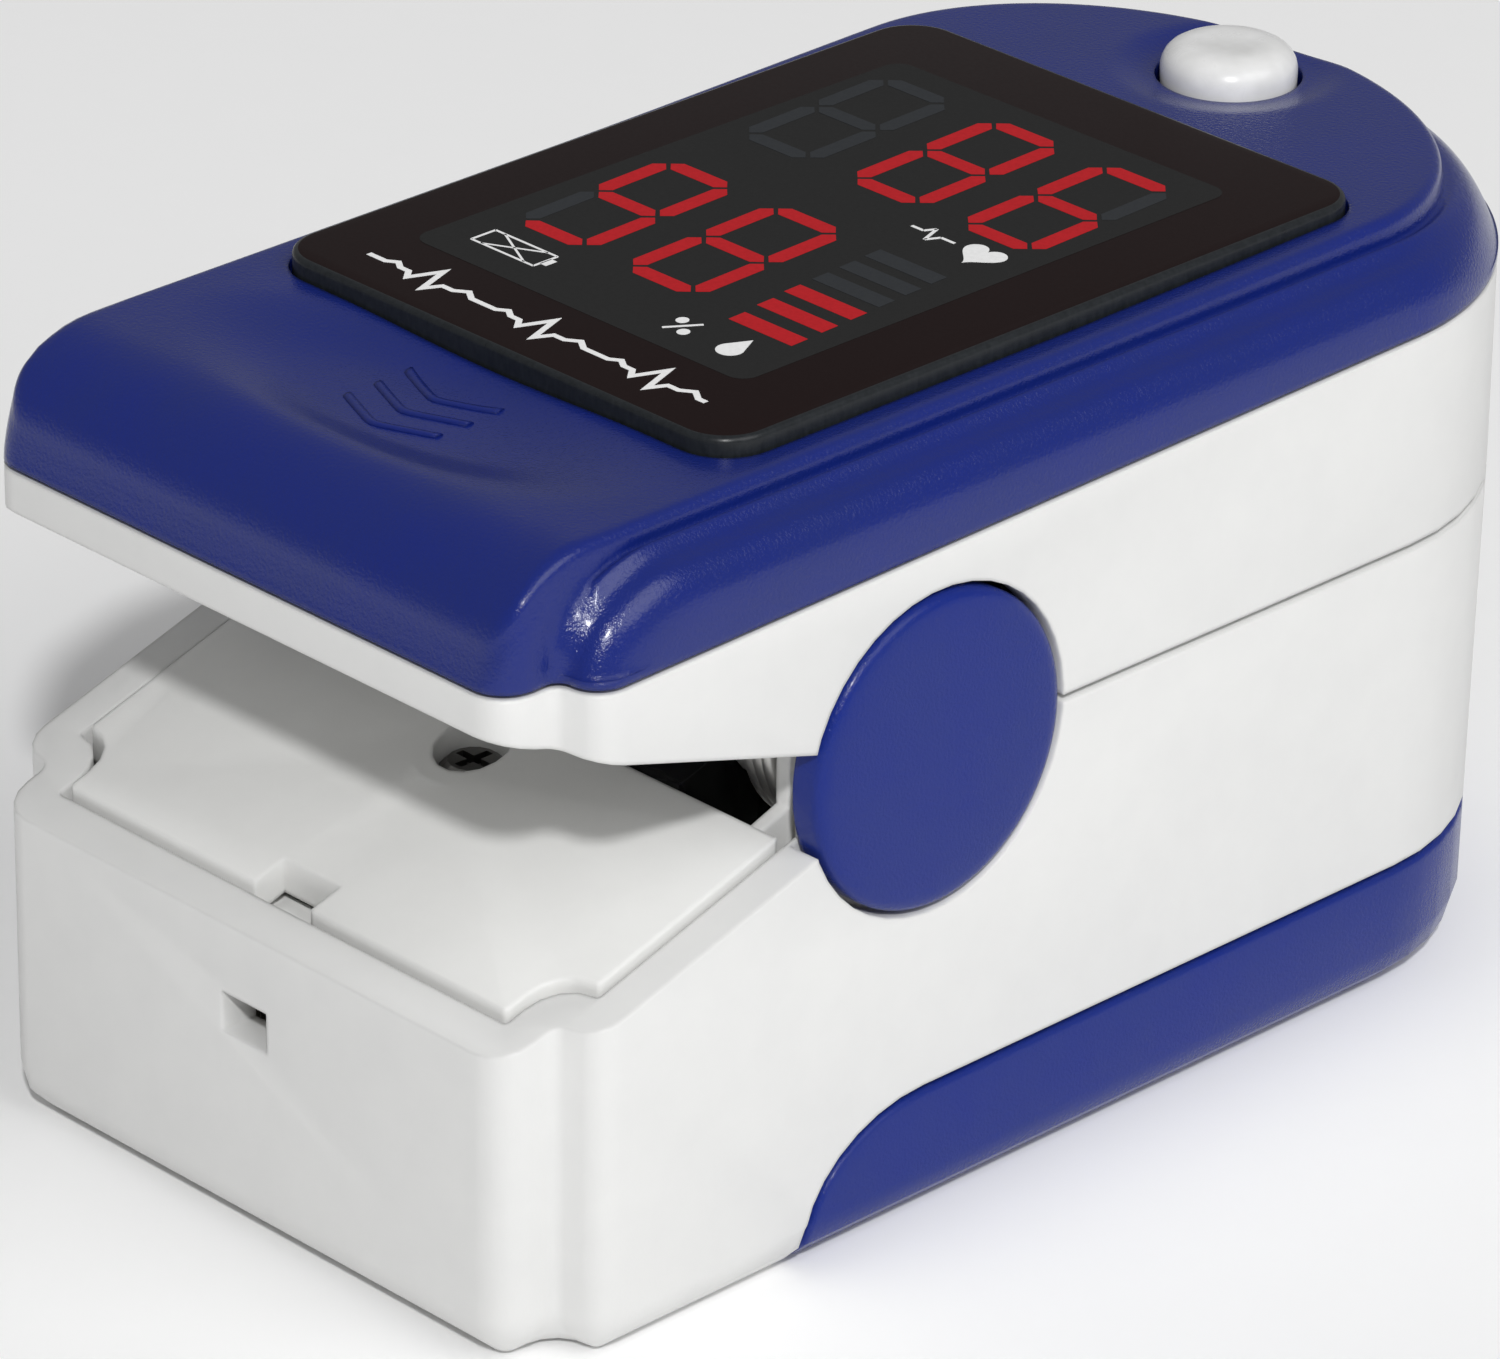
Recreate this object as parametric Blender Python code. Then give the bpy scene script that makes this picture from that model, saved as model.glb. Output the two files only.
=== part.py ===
# Fingertip pulse oximeter: a sprung clamp. The upper half holds the display and its electronics,
# the lower half holds two AAA cells, and the finger goes in between them from the rear.
# X is the width, Y the length with the finger's way in at +Y, Z is up, and the origin is in the
# middle of the flat base. Lengths below are millimetres; MM turns them into Blender's metres.
import math

import bpy
from mathutils import Matrix, Vector

MM = 0.001
GAP = 0.3                    # clearance between neighbouring pieces
SEAM_GAP = 0.15              # each piece's share of that clearance at a seam
OVERLAP = 0.1                # how far shapes that become one piece run into each other

# Plan outline, shared by every casing piece
HALF_WIDTH = 15.5
FRONT_Y = -28.5
NOSE_HALF_WIDTH = 13.6       # narrower front block, ahead of the notch
NOSE_CORNER_R = 1.5
STEP_Y = -25.9               # where the block widens to the full width
STEP_FILLET_R = 0.6
SIDE_CORNER_R = 1.3
SMALLEST_R = 0.2
REAR_CENTRE_Y = 15.5         # the rear is half an ellipse about this point
REAR_DEPTH = 13.0
REAR_DRAFT = 0.8             # the rear leans in towards the base by this much
ARC_STEPS = 4
REAR_STEPS = 12

# Clamp hinge and the wedge that opens in front of it
AXIS_Y = -9.3
AXIS_Z = 18.9
MID_SEAM_Z = 18.8
LOWER_SLOPE = math.tan(math.radians(17.4))
LOWER_SLOPE_Z = 18.5         # height of the lower rim's plane at the hinge
UPPER_SLOPE = math.tan(math.radians(16.8))
UPPER_SLOPE_Z = 18.95
EAR_RADIUS = 4.6
PIN_RADIUS = 1.5
PIN_CLEARANCE = 0.15
CAP_RADIUS = 6.1
CAP_POCKET_RADIUS = 6.35
CAP_X = (14.25, 15.8)
OUTER_EAR_X = (13.0, 14.1)   # on the lower shell
INNER_EAR_X = (12.0, 12.7)   # on the lower frame
UPPER_EAR_X = (8.2, 9.4)     # on the upper frame
UPPER_EAR_HALF_LENGTH = 3.6
OUTER_EAR_ROOT_Z = 11.0
PIN_X = (8.5, 13.9)
PIN_CHAMFER = 0.3
CAP_EDGE = ((0.0, 0.5), (0.15, 0.18), (0.5, 0.0))  # in from its rim, down from its face

# Lower half
LOWER_WALL = 1.6
FLOOR_Z = 1.0
BASE_EDGE_R = 2.0
BASE_EDGE_HEIGHTS = (0.0, 0.27, 1.0, BASE_EDGE_R)
LOWER_FRAME_INSET = 1.9
LOWER_DECK_Z = (12.15, 12.95)
PLATE_REAR_Y = -15.4
PLATE_THICKNESS = 1.4
UPPER_PLATE_THICKNESS = 1.2
PLATE_RISE = 0.25            # the sloped plate stands proud of the rim around it
WEB_HALF_WIDTH = 8.4
WEB_THICKNESS = 0.7
RIB_HALF_WIDTH = 14.5        # cross rib that takes the front screw
RIB_Y = (-18.6, -16.4)
RIB_Z = (12.05, 13.6)
REAR_BOSS_HALF_WIDTH = 2.0
REAR_BOSS_END_Y = 26.8
REAR_BOSS_Z = (6.2, 11.85)
SCREW_POST_R = 2.3
SCREW_POST_TOP_Z = 15.6
LANYARD_HOLE = (2.4, 1.6)
LANYARD_Z = 8.9
LANYARD_NOTCH_HALF_WIDTH = 1.5
LANYARD_NOTCH_Y = -25.2

# Battery door: the base and the sides of the rear two thirds
DOOR_FRONT_Y = -15.5
DOOR_SWEEP_Y = 5.8           # its front edge is a quarter ellipse this long
DOOR_SEAM_Z = 5.4
DOOR_EDGE_Z = 0.9
DOOR_WALL = 1.3
DOOR_FLOOR = 0.9
GRIP_GROOVES = 5
GRIP_FRONT_Y = -11.5
GRIP_PITCH = 1.6
GRIP_WIDTH = 0.7
GRIP_HALF_LENGTH = 5.0
GRIP_DEPTH = 0.35

# Two AAA cells side by side
CELL_RADIUS = 5.25
CELL_X = 5.6
CELL_Z = 6.5
CELL_LENGTH = 44.5
CELL_TIP = (1.9, 0.8)        # radius and length of the positive tip
CELL_RIM = 0.5               # chamfer at both ends
CONTACT_FRONT_Y = -26.2
CONTACT_REAR_Y = 22.0
CONTACT_THICKNESS = 0.35
CONTACT_Z = (2.4, 10.6)
CONTACT_HALF_WIDTH = 3.9
CONTACT_WALL_Y = (22.35, 23.2)
CONTACT_WALL_Z = (6.0, 11.8)
CONTACT_WALL_HALF_WIDTH = 11.4
TIP_GAP = 0.6                # from a contact plate to a cell's positive tip
BATTERY_SPRING_WIRE_R = 0.24
BATTERY_SPRING_TURNS = 2.25
BATTERY_SPRING_RADII = (1.6, 3.5)

# Upper half
UPPER_WALL = 1.1
UPPER_FRAME_INSET = 1.4
UPPER_DECK_Z = (24.6, 25.4)
COVER_SEAM_Z = 26.5          # blue to white seam at COVER_SEAM_Y, rising towards the rear
COVER_SEAM_Y = -25.8
COVER_SEAM_RISE = 0.0223
COVER_TOP_Z = 31.0
COVER_WALL = 1.5
COVER_NOSE_CENTRE = (-24.3, 26.5)
COVER_NOSE_RADII = (4.2, 4.5)
COVER_LEAST_Z = 0.6          # least height of its side above the seam
SHOULDER_FRONT_Z = (27.6, 2.6)  # its shoulder starts this high at the notch, and rises by this much
SHOULDER_FRONT_LENGTH = 2.5
COVER_HOLLOW_Z = 28.0        # the side walls' hollow, then a narrower one under the platform
COVER_TOP_HOLLOW_Z = 28.9
COVER_TOP_HOLLOW_INSET = 3.4
COVER_TOP_HOLLOW_FRONT_Y = -22.5
COVER_NOSE_STATIONS = (-27.6, -26.2, -22.0, -17.0, 0.0)  # sections besides the outline's own corners
COVER_MIDDLE_INSET = 5.5
WINDOW_HALF_WIDTH = 11.9
WINDOW_Y = (-16.65, 16.6)
WINDOW_Z = (30.2, 31.7)
WINDOW_CORNER_R = 2.0
WINDOW_CHAMFER = 0.25
WELL_HALF_WIDTH = 10.9       # opening under the window for the display
WELL_Y = (-14.4, 14.6)

# Finger pads
PAD_INSET = 1.95
PAD_SINK = 0.25              # how far the lower pad lies under its casing's rim
PAD_FRONT_Y = -15.1
PAD_NECK_Y = -4.3            # ahead of this the pads narrow to pass between the hinge ears
PAD_NECK_HALF_WIDTH = 7.9
LOWER_PAD_Z = (13.25, 18.5)
UPPER_PAD_Z = (19.1, 24.3)
CHAMBER_Z = 18.8
MOUTH_HALF_SIZE = (7.7, 3.6) # way in through the rear walls
MOUTH_FLARE = (9.2, 4.6)
MOUTH_Y = (26.0, 29.5)

# Sensor boards and their windows, one pair in each pad
SENSOR_Y = 1.0
SENSOR_BOARD_HALF = (5.0, 4.5)
SENSOR_WINDOW_HALF = 2.8
DETECTOR_BOARD_Z = (13.25, 13.75)
DETECTOR_WINDOW_Z = (14.25, 14.95)
EMITTER_BOARD_Z = (23.75, 24.25)
EMITTER_WINDOW_Z = (22.65, 23.3)
SENSOR_CHIP_HALF = (1.6, 1.6)
EMITTER_LAMP_HALF = (1.3, 1.6)
LAMP_STAND = 0.35            # how far the chip and the lamp stand off their boards

# Flat cable between the halves
RIBBON_FRONT_Y = -14.3       # where it rises in front of the pads
RIBBON_Z = (13.4, 25.72)
RIBBON_HALF_WIDTH = 1.8
RIBBON_HALF_THICKNESS = 0.1
RIBBON_ROOM_HALF_WIDTH = 2.2
RIBBON_BEND = 0.9

# Electronics
BOARD_Z = (26.0, 26.8)
BOARD_Y = (-13.0, 24.8)
DISPLAY_Z = (27.1, 30.0)
BUTTON_Y = 22.0
BUTTON_RADIUS = 2.85
BUTTON_Z = (29.75, 32.0)
BUTTON_FLOOR_Z = 30.25       # underside of its wide part, over the seat in the cover
BUTTON_SEAT_Z = 29.4
BUTTON_STEM_R = 1.3
SWITCH_TOP_Z = 28.5
SWITCH_HALF = (2.3, 2.2)
PLUNGER_RADIUS = 0.9
PLUNGER_CLEARANCE = 0.15
PLUNGER_ROOM_DEPTH = 0.8
BUTTON_CLEARANCE = 0.2
BUTTON_DOME = ((0.0, 0.95), (0.12, 0.6), (0.45, 0.28), (0.95, 0.08), (1.5, 0.0))  # in, then down
CHIP_STAND = 0.1             # clearance between the board and what sits on it
PROCESSOR_X = (-9.4, -4.4)
PROCESSOR_Y = (16.4, 21.4)
PROCESSOR_HEIGHT = 0.9
BOARD_INSET = 2.0
BOARD_BOSS_R = 1.8

# Torsion spring
SPRING_WIRE_R = 0.3
SPRING_COIL_R = 2.7
SPRING_WHOLE_TURNS = 2
SPRING_X = (9.95, 11.55)
SPRING_LEG = 7.5
TURN_STEPS = 16

# Screws
SCREW_FRONT_Y = -17.4
SCREW_REAR_Y = 24.5
SCREW_HEAD_R = 1.3
SCREW_HEAD_ROOM_R = 1.5
SCREW_SHANK_R = 0.65
SCREW_BORE_R = 0.8
SCREW_HEAD_HEIGHT = 0.8
SCREW_POINT = 0.6            # length of its tapered end
SCREW_CROSS = (0.78, 0.18, 0.4)  # half length, half width and depth of the driver's slots
FRONT_SCREW_SEAT_Z = 14.7
FRONT_SCREW_LENGTH = 2.6
REAR_SCREW_LENGTH = 5.4
BOARD_SCREW_LENGTH = 2.2
FRONT_BORE_Z = (11.0, 14.5)
REAR_BORE_Z = (7.4, 13.0)
BOARD_SCREW_X = 11.2
BOARD_SCREW_Y = 17.8

FAR = 60.0                   # beyond the object on every side

# Pieces that swing with the upper half, apart from the button and its plunger
UPPER_PIECES = ("upper_shell", "upper_frame", "upper_finger_pad", "emitter_board", "emitter_window",
                "top_cover", "display_window", "display_module", "main_board", "processor",
                "button_switch", "board_screw_right", "board_screw_left")


# Colours, as linear values
WHITE_ABS = ("white_abs", (0.78, 0.78, 0.76), 0.45, 0.0)
BLUE_ABS = ("blue_abs", (0.012, 0.02, 0.25), 0.38, 0.0)
BLACK_SILICONE = ("black_silicone", (0.012, 0.012, 0.013), 0.3, 0.0)
WINDOW_BLACK = ("window_black", (0.016, 0.01, 0.01), 0.08, 0.0)
CLEAR_RED = ("clear_red", (0.12, 0.01, 0.01), 0.1, 0.0)
GREEN_BOARD = ("green_board", (0.01, 0.12, 0.04), 0.4, 0.0)
CHIP_BLACK = ("chip_black", (0.02, 0.02, 0.02), 0.5, 0.0)
DISPLAY_GREY = ("display_grey", (0.05, 0.05, 0.05), 0.4, 0.0)
SPRING_STEEL = ("spring_steel", (0.6, 0.6, 0.6), 0.25, 1.0)
NICKEL = ("nickel", (0.66, 0.64, 0.6), 0.3, 1.0)
CELL_JACKET = ("cell_jacket", (0.03, 0.09, 0.06), 0.35, 0.0)
RIBBON_AMBER = ("ribbon_amber", (0.35, 0.13, 0.02), 0.4, 0.0)


def material(spec):
    name, colour, roughness, metallic = spec
    found = bpy.data.materials.get(name)
    if found:
        return found
    made = bpy.data.materials.new(name)
    made.use_nodes = True
    shader = made.node_tree.nodes["Principled BSDF"]
    shader.inputs["Base Color"].default_value = (*colour, 1.0)
    shader.inputs["Roughness"].default_value = roughness
    shader.inputs["Metallic"].default_value = metallic
    made.diffuse_color = (*colour, 1.0)
    return made


# ---- building solids ----

def solid(name, points, faces, spec=None):
    """An object from points in millimetres; with no material it is a hidden cutter or helper."""
    mesh = bpy.data.meshes.new(name)
    mesh.from_pydata([Vector(p) * MM for p in points], [], faces)
    mesh.validate()
    mesh.update()
    made = bpy.data.objects.new(name, mesh)
    bpy.context.scene.collection.objects.link(made)
    if spec:
        mesh.materials.append(material(spec))
    else:
        made.hide_render = True
        made.display_type = "WIRE"
    return made


def loft(name, rings, spec=None):
    """Rings with the same number of points, joined in order and closed at both ends."""
    count = len(rings[0])
    points = [p for ring in rings for p in ring]
    faces = []
    for level in range(len(rings) - 1):
        low, high = level * count, (level + 1) * count
        for i in range(count):
            j = (i + 1) % count
            faces.append((low + i, low + j, high + j, high + i))
    faces.append(tuple(reversed(range(count))))
    faces.append(tuple(range((len(rings) - 1) * count, len(rings) * count)))
    made = solid(name, points, faces, spec)
    if signed_volume(made.data) < 0:
        made.data.flip_normals()
    return made


def signed_volume(mesh):
    mesh.calc_loop_triangles()
    total = 0.0
    for triangle in mesh.loop_triangles:
        a, b, c = (mesh.vertices[i].co for i in triangle.vertices)
        total += a.dot(b.cross(c))
    return total


def prism_z(name, plan, low, high, spec=None):
    """A plan outline between two heights, each a number or a function of (x, y)."""
    def height(value, x, y):
        return value(x, y) if callable(value) else value
    rings = [[(x, y, height(level, x, y)) for x, y in plan] for level in (low, high)]
    return loft(name, rings, spec)


def prism_x(name, profile, x_low, x_high, spec=None):
    """A closed (y, z) profile, from x_low to x_high."""
    return loft(name, [[(x, y, z) for y, z in profile] for x in (x_low, x_high)], spec)


def box(name, low, high, spec=None):
    plan = [(low[0], low[1]), (high[0], low[1]), (high[0], high[1]), (low[0], high[1])]
    return prism_z(name, plan, low[2], high[2], spec)


def turned(name, axis, centre, profile, steps, spec=None):
    """Circles of (radius, distance along the axis), closed at both ends."""
    along = {"X": Vector((1, 0, 0)), "Y": Vector((0, 1, 0)), "Z": Vector((0, 0, 1))}[axis]
    side = {"X": Vector((0, 1, 0)), "Y": Vector((0, 0, 1)), "Z": Vector((1, 0, 0))}[axis]
    other = along.cross(side)
    rings = []
    for radius, distance in profile:
        ring = []
        for i in range(steps):
            turn = 2 * math.pi * (i + 0.5) / steps
            offset = side * (radius * math.cos(turn)) + other * (radius * math.sin(turn))
            ring.append(tuple(Vector(centre) + along * distance + offset))
        rings.append(ring)
    made = loft(name, rings, spec)
    if spec:
        smooth(made)
    return made


def smooth(thing):
    thing.data.shade_smooth()
    thing.data.set_sharp_from_angle(angle=math.radians(35))


def boolean(thing, operation, others):
    for other in others:
        modifier = thing.modifiers.new(f"{operation.lower()}_{other.name}"[:60], "BOOLEAN")
        modifier.operation = operation
        modifier.solver = "EXACT"
        modifier.object = other
    return thing


def cut(thing, *cutters):
    return boolean(thing, "DIFFERENCE", cutters)


def add(thing, *others):
    return boolean(thing, "UNION", others)


def keep(thing, *volumes):
    return boolean(thing, "INTERSECT", volumes)


# ---- shared shapes ----

def arc(centre_x, centre_y, radius_x, radius_y, start, end, steps=ARC_STEPS):
    turns = [math.radians(start + (end - start) * i / steps) for i in range(steps + 1)]
    return [(centre_x + radius_x * math.cos(t), centre_y + radius_y * math.sin(t)) for t in turns]


def outline(inset=0.0, draft=0.0):
    """The casing's plan: a front block with notched corners, straight sides, half an ellipse."""
    side = HALF_WIDTH - inset
    nose = NOSE_HALF_WIDTH - inset
    front = FRONT_Y + inset
    step = STEP_Y + inset
    nose_r = max(NOSE_CORNER_R - inset, SMALLEST_R)
    side_r = max(SIDE_CORNER_R - inset, SMALLEST_R)
    step_r = min(STEP_FILLET_R + inset, side - nose - side_r)
    half = arc(nose - nose_r, front + nose_r, nose_r, nose_r, -90, 0)
    half += arc(nose + step_r, step - step_r, step_r, step_r, 180, 90)
    half += arc(side - side_r, step + side_r, side_r, side_r, -90, 0)[1:]
    rear = REAR_DEPTH - inset - draft
    half += arc(0, REAR_CENTRE_Y, side, rear, 0, 90, REAR_STEPS)
    return half + [(-x, y) for x, y in reversed(half[:-1])]


def rear_draft(z):
    return REAR_DRAFT * max(0.0, 1 - z / MID_SEAM_Z)


def casing_ring(z, inset=0.0):
    """The lower casing's outside at height z, with its rounded bottom edge."""
    edge = 0.0
    if z < BASE_EDGE_R:
        edge = BASE_EDGE_R - math.sqrt(BASE_EDGE_R ** 2 - (BASE_EDGE_R - z) ** 2)
    return [(x, y, z) for x, y in outline(inset + edge, rear_draft(z))]


def lower_slope(y):
    return LOWER_SLOPE_Z + (y - AXIS_Y) * LOWER_SLOPE


def upper_slope(y):
    return UPPER_SLOPE_Z - (y - AXIS_Y) * UPPER_SLOPE


def cover_seam(_x, y):
    return COVER_SEAM_Z + (y - COVER_SEAM_Y) * COVER_SEAM_RISE


def above_lower_half(lift=0.0):
    """Everything over the wedge's lower plane and over the middle seam."""
    level = MID_SEAM_Z - SEAM_GAP + lift
    profile = [(-FAR, lower_slope(-FAR) + lift), (AXIS_Y, lower_slope(AXIS_Y) + lift),
               (AXIS_Y + GAP, level), (FAR, level), (FAR, FAR), (-FAR, FAR)]
    return profile


def below_upper_half(lift=0.0):
    """Everything under the wedge's upper plane and under the middle seam."""
    level = MID_SEAM_Z + SEAM_GAP + lift
    return [(-FAR, upper_slope(-FAR) + lift), (AXIS_Y, level), (FAR, level), (FAR, -FAR), (-FAR, -FAR)]


def door_profile(clearance):
    """Side view of the battery door: a quarter ellipse at its front, then a level seam."""
    centre_y = DOOR_FRONT_Y + DOOR_SWEEP_Y
    rise = DOOR_SEAM_Z - DOOR_EDGE_Z
    sweep = arc(centre_y, DOOR_EDGE_Z, DOOR_SWEEP_Y + clearance, rise + clearance, 180, 90, 8)
    top = DOOR_SEAM_Z + clearance
    return [(DOOR_FRONT_Y - clearance, -FAR)] + sweep + [(FAR, top), (FAR, -FAR)]


def hinge_cylinder(name, radius, x_low, x_high, steps=32):
    return turned(name, "X", (0, AXIS_Y, AXIS_Z), [(radius, x_low), (radius, x_high)], steps)


def ear_profile(half_length, radius, root_z, up):
    """A lug about the hinge axis, rounded over it and running straight to root_z."""
    turns = [math.radians(180 * i / 12) for i in range(13)]
    rounded = [(AXIS_Y + radius * math.cos(t), AXIS_Z + up * radius * math.sin(t)) for t in turns]
    return rounded + [(AXIS_Y - half_length, root_z), (AXIS_Y + half_length, root_z)]


def round_bore(name, place, radius, low, high, steps=12):
    return turned(name, "Z", (*place, 0), [(radius, low), (radius, high)], steps)


def mirrored_spans(span):
    return (("right", span), ("left", (-span[1], -span[0])))


def finger_way(name):
    """The finger's room between the pads: a fingertip seat that widens towards the rear."""
    stations = [(-13.2, 2.0, 0.8), (-12.3, 4.4, 2.2), (-10.6, 5.8, 3.4), (-8.0, 6.5, 3.8),
                (-4.6, 6.9, 3.9), (0.0, 8.0, 3.9), (8.0, 8.3, 3.9), (22.0, 8.3, 3.9), (FAR, 8.3, 3.9)]
    rings = []
    for y, half_width, half_height in stations:
        section = arc(0, CHAMBER_Z, half_width, half_height, 0, 360, 24)[:-1]
        rings.append([(x, y, z) for x, z in section])
    return loft(name, rings)


def rear_mouth(name):
    """The way in through the rear walls of both casings, flared outwards."""
    rings = []
    stations = ((REAR_CENTRE_Y, MOUTH_HALF_SIZE), (MOUTH_Y[0], MOUTH_HALF_SIZE), (MOUTH_Y[1], MOUTH_FLARE))
    for y, (half_width, half_height) in stations:
        section = arc(0, CHAMBER_Z, half_width, half_height, 0, 360, 24)[:-1]
        rings.append([(x, y, z) for x, z in section])
    return loft(name, rings)


# ---- lower half ----

def lower_shell():
    heights = (*BASE_EDGE_HEIGHTS, MID_SEAM_Z)
    shell = loft("lower_shell", [casing_ring(z) for z in heights], WHITE_ABS)
    cavity = prism_z("lower_cavity", outline(LOWER_WALL, rear_draft(FLOOR_Z)), FLOOR_Z, FAR)
    cut(shell, cavity, prism_x("lower_top_cut", above_lower_half(), -FAR, FAR))
    for side, (low, high) in mirrored_spans(OUTER_EAR_X):
        ear = ear_profile(EAR_RADIUS, EAR_RADIUS, OUTER_EAR_ROOT_Z, 1)
        add(shell, prism_x(f"outer_ear_{side}", ear, low, high))
    rib_low = (-RIB_HALF_WIDTH, RIB_Y[0], RIB_Z[0])
    rib_high = (RIB_HALF_WIDTH, RIB_Y[1], RIB_Z[1])
    add(shell, box("screw_rib", rib_low, rib_high))
    wall_front, wall_rear = CONTACT_WALL_Y
    boss_low = (-REAR_BOSS_HALF_WIDTH, wall_rear - OVERLAP, REAR_BOSS_Z[0])
    boss_high = (REAR_BOSS_HALF_WIDTH, REAR_BOSS_END_Y, REAR_BOSS_Z[1])
    add(shell, box("rear_boss", boss_low, boss_high))
    wall_low = (-CONTACT_WALL_HALF_WIDTH, wall_front, CONTACT_WALL_Z[0])
    wall_high = (CONTACT_WALL_HALF_WIDTH, wall_rear, CONTACT_WALL_Z[1])
    add(shell, box("contact_wall", wall_low, wall_high))
    cut(shell, prism_x("door_opening", door_profile(SEAM_GAP), -FAR, FAR))
    for side, (low, high) in mirrored_spans((OUTER_EAR_X[1], FAR)):
        cut(shell, hinge_cylinder(f"cap_pocket_{side}", CAP_POCKET_RADIUS, low, high, 40))
    for side, (low, high) in mirrored_spans((OUTER_EAR_X[0] - 1, OUTER_EAR_X[1] + 1)):
        cut(shell, hinge_cylinder(f"lower_bore_{side}", PIN_RADIUS + PIN_CLEARANCE, low, high, 20))
    width, height = (size / 2 for size in LANYARD_HOLE)
    low = (-width, FRONT_Y - 1, LANYARD_Z - height)
    high = (width, FRONT_Y + LOWER_WALL + 1, LANYARD_Z + height)
    cut(shell, box("lanyard_hole", low, high), rear_mouth("lower_mouth"))
    for name, y, (low, high) in (("front", SCREW_FRONT_Y, FRONT_BORE_Z), ("rear", SCREW_REAR_Y, REAR_BORE_Z)):
        cut(shell, round_bore(f"{name}_screw_bore", (0, y), SCREW_BORE_R, low, high))


def lower_frame():
    """Sloped plate at the front, web behind it, deck under the finger pad, and the inner ears."""
    deck_plan = outline(LOWER_FRAME_INSET, rear_draft(FLOOR_Z))
    frame = prism_z("lower_frame", deck_plan, LOWER_DECK_Z[0], LOWER_DECK_Z[1], WHITE_ABS)
    web_front = PLATE_REAR_Y - WEB_THICKNESS
    cut(frame, box("deck_front_cut", (-FAR, -FAR, 0), (FAR, web_front + 2 * OVERLAP, FAR)))
    ear_front, ear_rear = AXIS_Y - EAR_RADIUS - GAP, AXIS_Y + EAR_RADIUS + GAP
    for side, (low, high) in mirrored_spans((INNER_EAR_X[1] - OVERLAP, FAR)):
        cut(frame, box(f"deck_ear_room_{side}", (low, ear_front, 0), (high, ear_rear, FAR)))
    plate = prism_z(
        "slope_plate", outline(LOWER_FRAME_INSET),
        lambda _x, y: lower_slope(y) + PLATE_RISE - PLATE_THICKNESS,
        lambda _x, y: lower_slope(y) + PLATE_RISE)
    cut(plate, box("plate_rear_cut", (-FAR, PLATE_REAR_Y, 0), (FAR, FAR, FAR)))
    web_top = lower_slope(web_front) - 4 * OVERLAP
    web = box("plate_web", (-WEB_HALF_WIDTH, web_front, LOWER_DECK_Z[0] + OVERLAP),
              (WEB_HALF_WIDTH, PLATE_REAR_Y, web_top))
    screw_place = (0, SCREW_FRONT_Y)
    post = round_bore("screw_post", screw_place, SCREW_POST_R, RIB_Z[1] + GAP, SCREW_POST_TOP_Z, 16)
    add(frame, web, plate, post)
    for side, (low, high) in mirrored_spans(INNER_EAR_X):
        ear = ear_profile(EAR_RADIUS, EAR_RADIUS, LOWER_DECK_Z[0] + OVERLAP, 1)
        add(frame, prism_x(f"inner_ear_{side}", ear, low, high))
        add(frame, prism_x(f"ear_strip_{side}", ear_strip(), low + OVERLAP / 2, high - OVERLAP / 2))
        bore = (low - 1, high + 1)
        cut(frame, hinge_cylinder(f"inner_bore_{side}", PIN_RADIUS + PIN_CLEARANCE, *bore, 20))
    head = round_bore("front_head_room", screw_place, SCREW_HEAD_ROOM_R, FRONT_SCREW_SEAT_Z, FAR, 16)
    front = round_bore("front_shank_room", screw_place, SCREW_BORE_R, FRONT_BORE_Z[0], FAR)
    rear = round_bore("rear_shank_room", (0, SCREW_REAR_Y), SCREW_BORE_R, REAR_BORE_Z[0], FAR)
    notch = box("lanyard_notch", (-LANYARD_NOTCH_HALF_WIDTH, FRONT_Y, 10.0),
                (LANYARD_NOTCH_HALF_WIDTH, LANYARD_NOTCH_Y, FAR))
    cut(frame, head, front, rear, notch)


def ear_strip():
    """Side view of the strip that carries each inner ear into the sloped plate."""
    front_y, rear_y = PLATE_REAR_Y - 4 * OVERLAP, AXIS_Y - EAR_RADIUS + 4 * OVERLAP
    front_z, rear_z = lower_slope(front_y), lower_slope(rear_y) + OVERLAP
    return [(front_y, front_z), (rear_y, rear_z), (rear_y, LOWER_DECK_Z[1] + 1.5), (front_y, front_z - 1)]


def screw(name, x, y, seat_z, length):
    rim = SCREW_HEAD_HEIGHT * 0.6
    profile = [(SCREW_SHANK_R * 0.4, -length), (SCREW_SHANK_R, SCREW_POINT - length), (SCREW_SHANK_R, 0.0),
               (SCREW_HEAD_R, 0.0), (SCREW_HEAD_R, rim), (SCREW_HEAD_R * 0.75, SCREW_HEAD_HEIGHT)]
    made = turned(name, "Z", (x, y, seat_z), profile, 16, SPRING_STEEL)
    half_length, half_width, depth = SCREW_CROSS
    top = seat_z + SCREW_HEAD_HEIGHT
    for label, half_x, half_y in (("a", half_length, half_width), ("b", half_width, half_length)):
        low, high = (x - half_x, y - half_y, top - depth), (x + half_x, y + half_y, top + 1)
        cut(made, box(f"{name}_cross_{label}", low, high))


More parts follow.
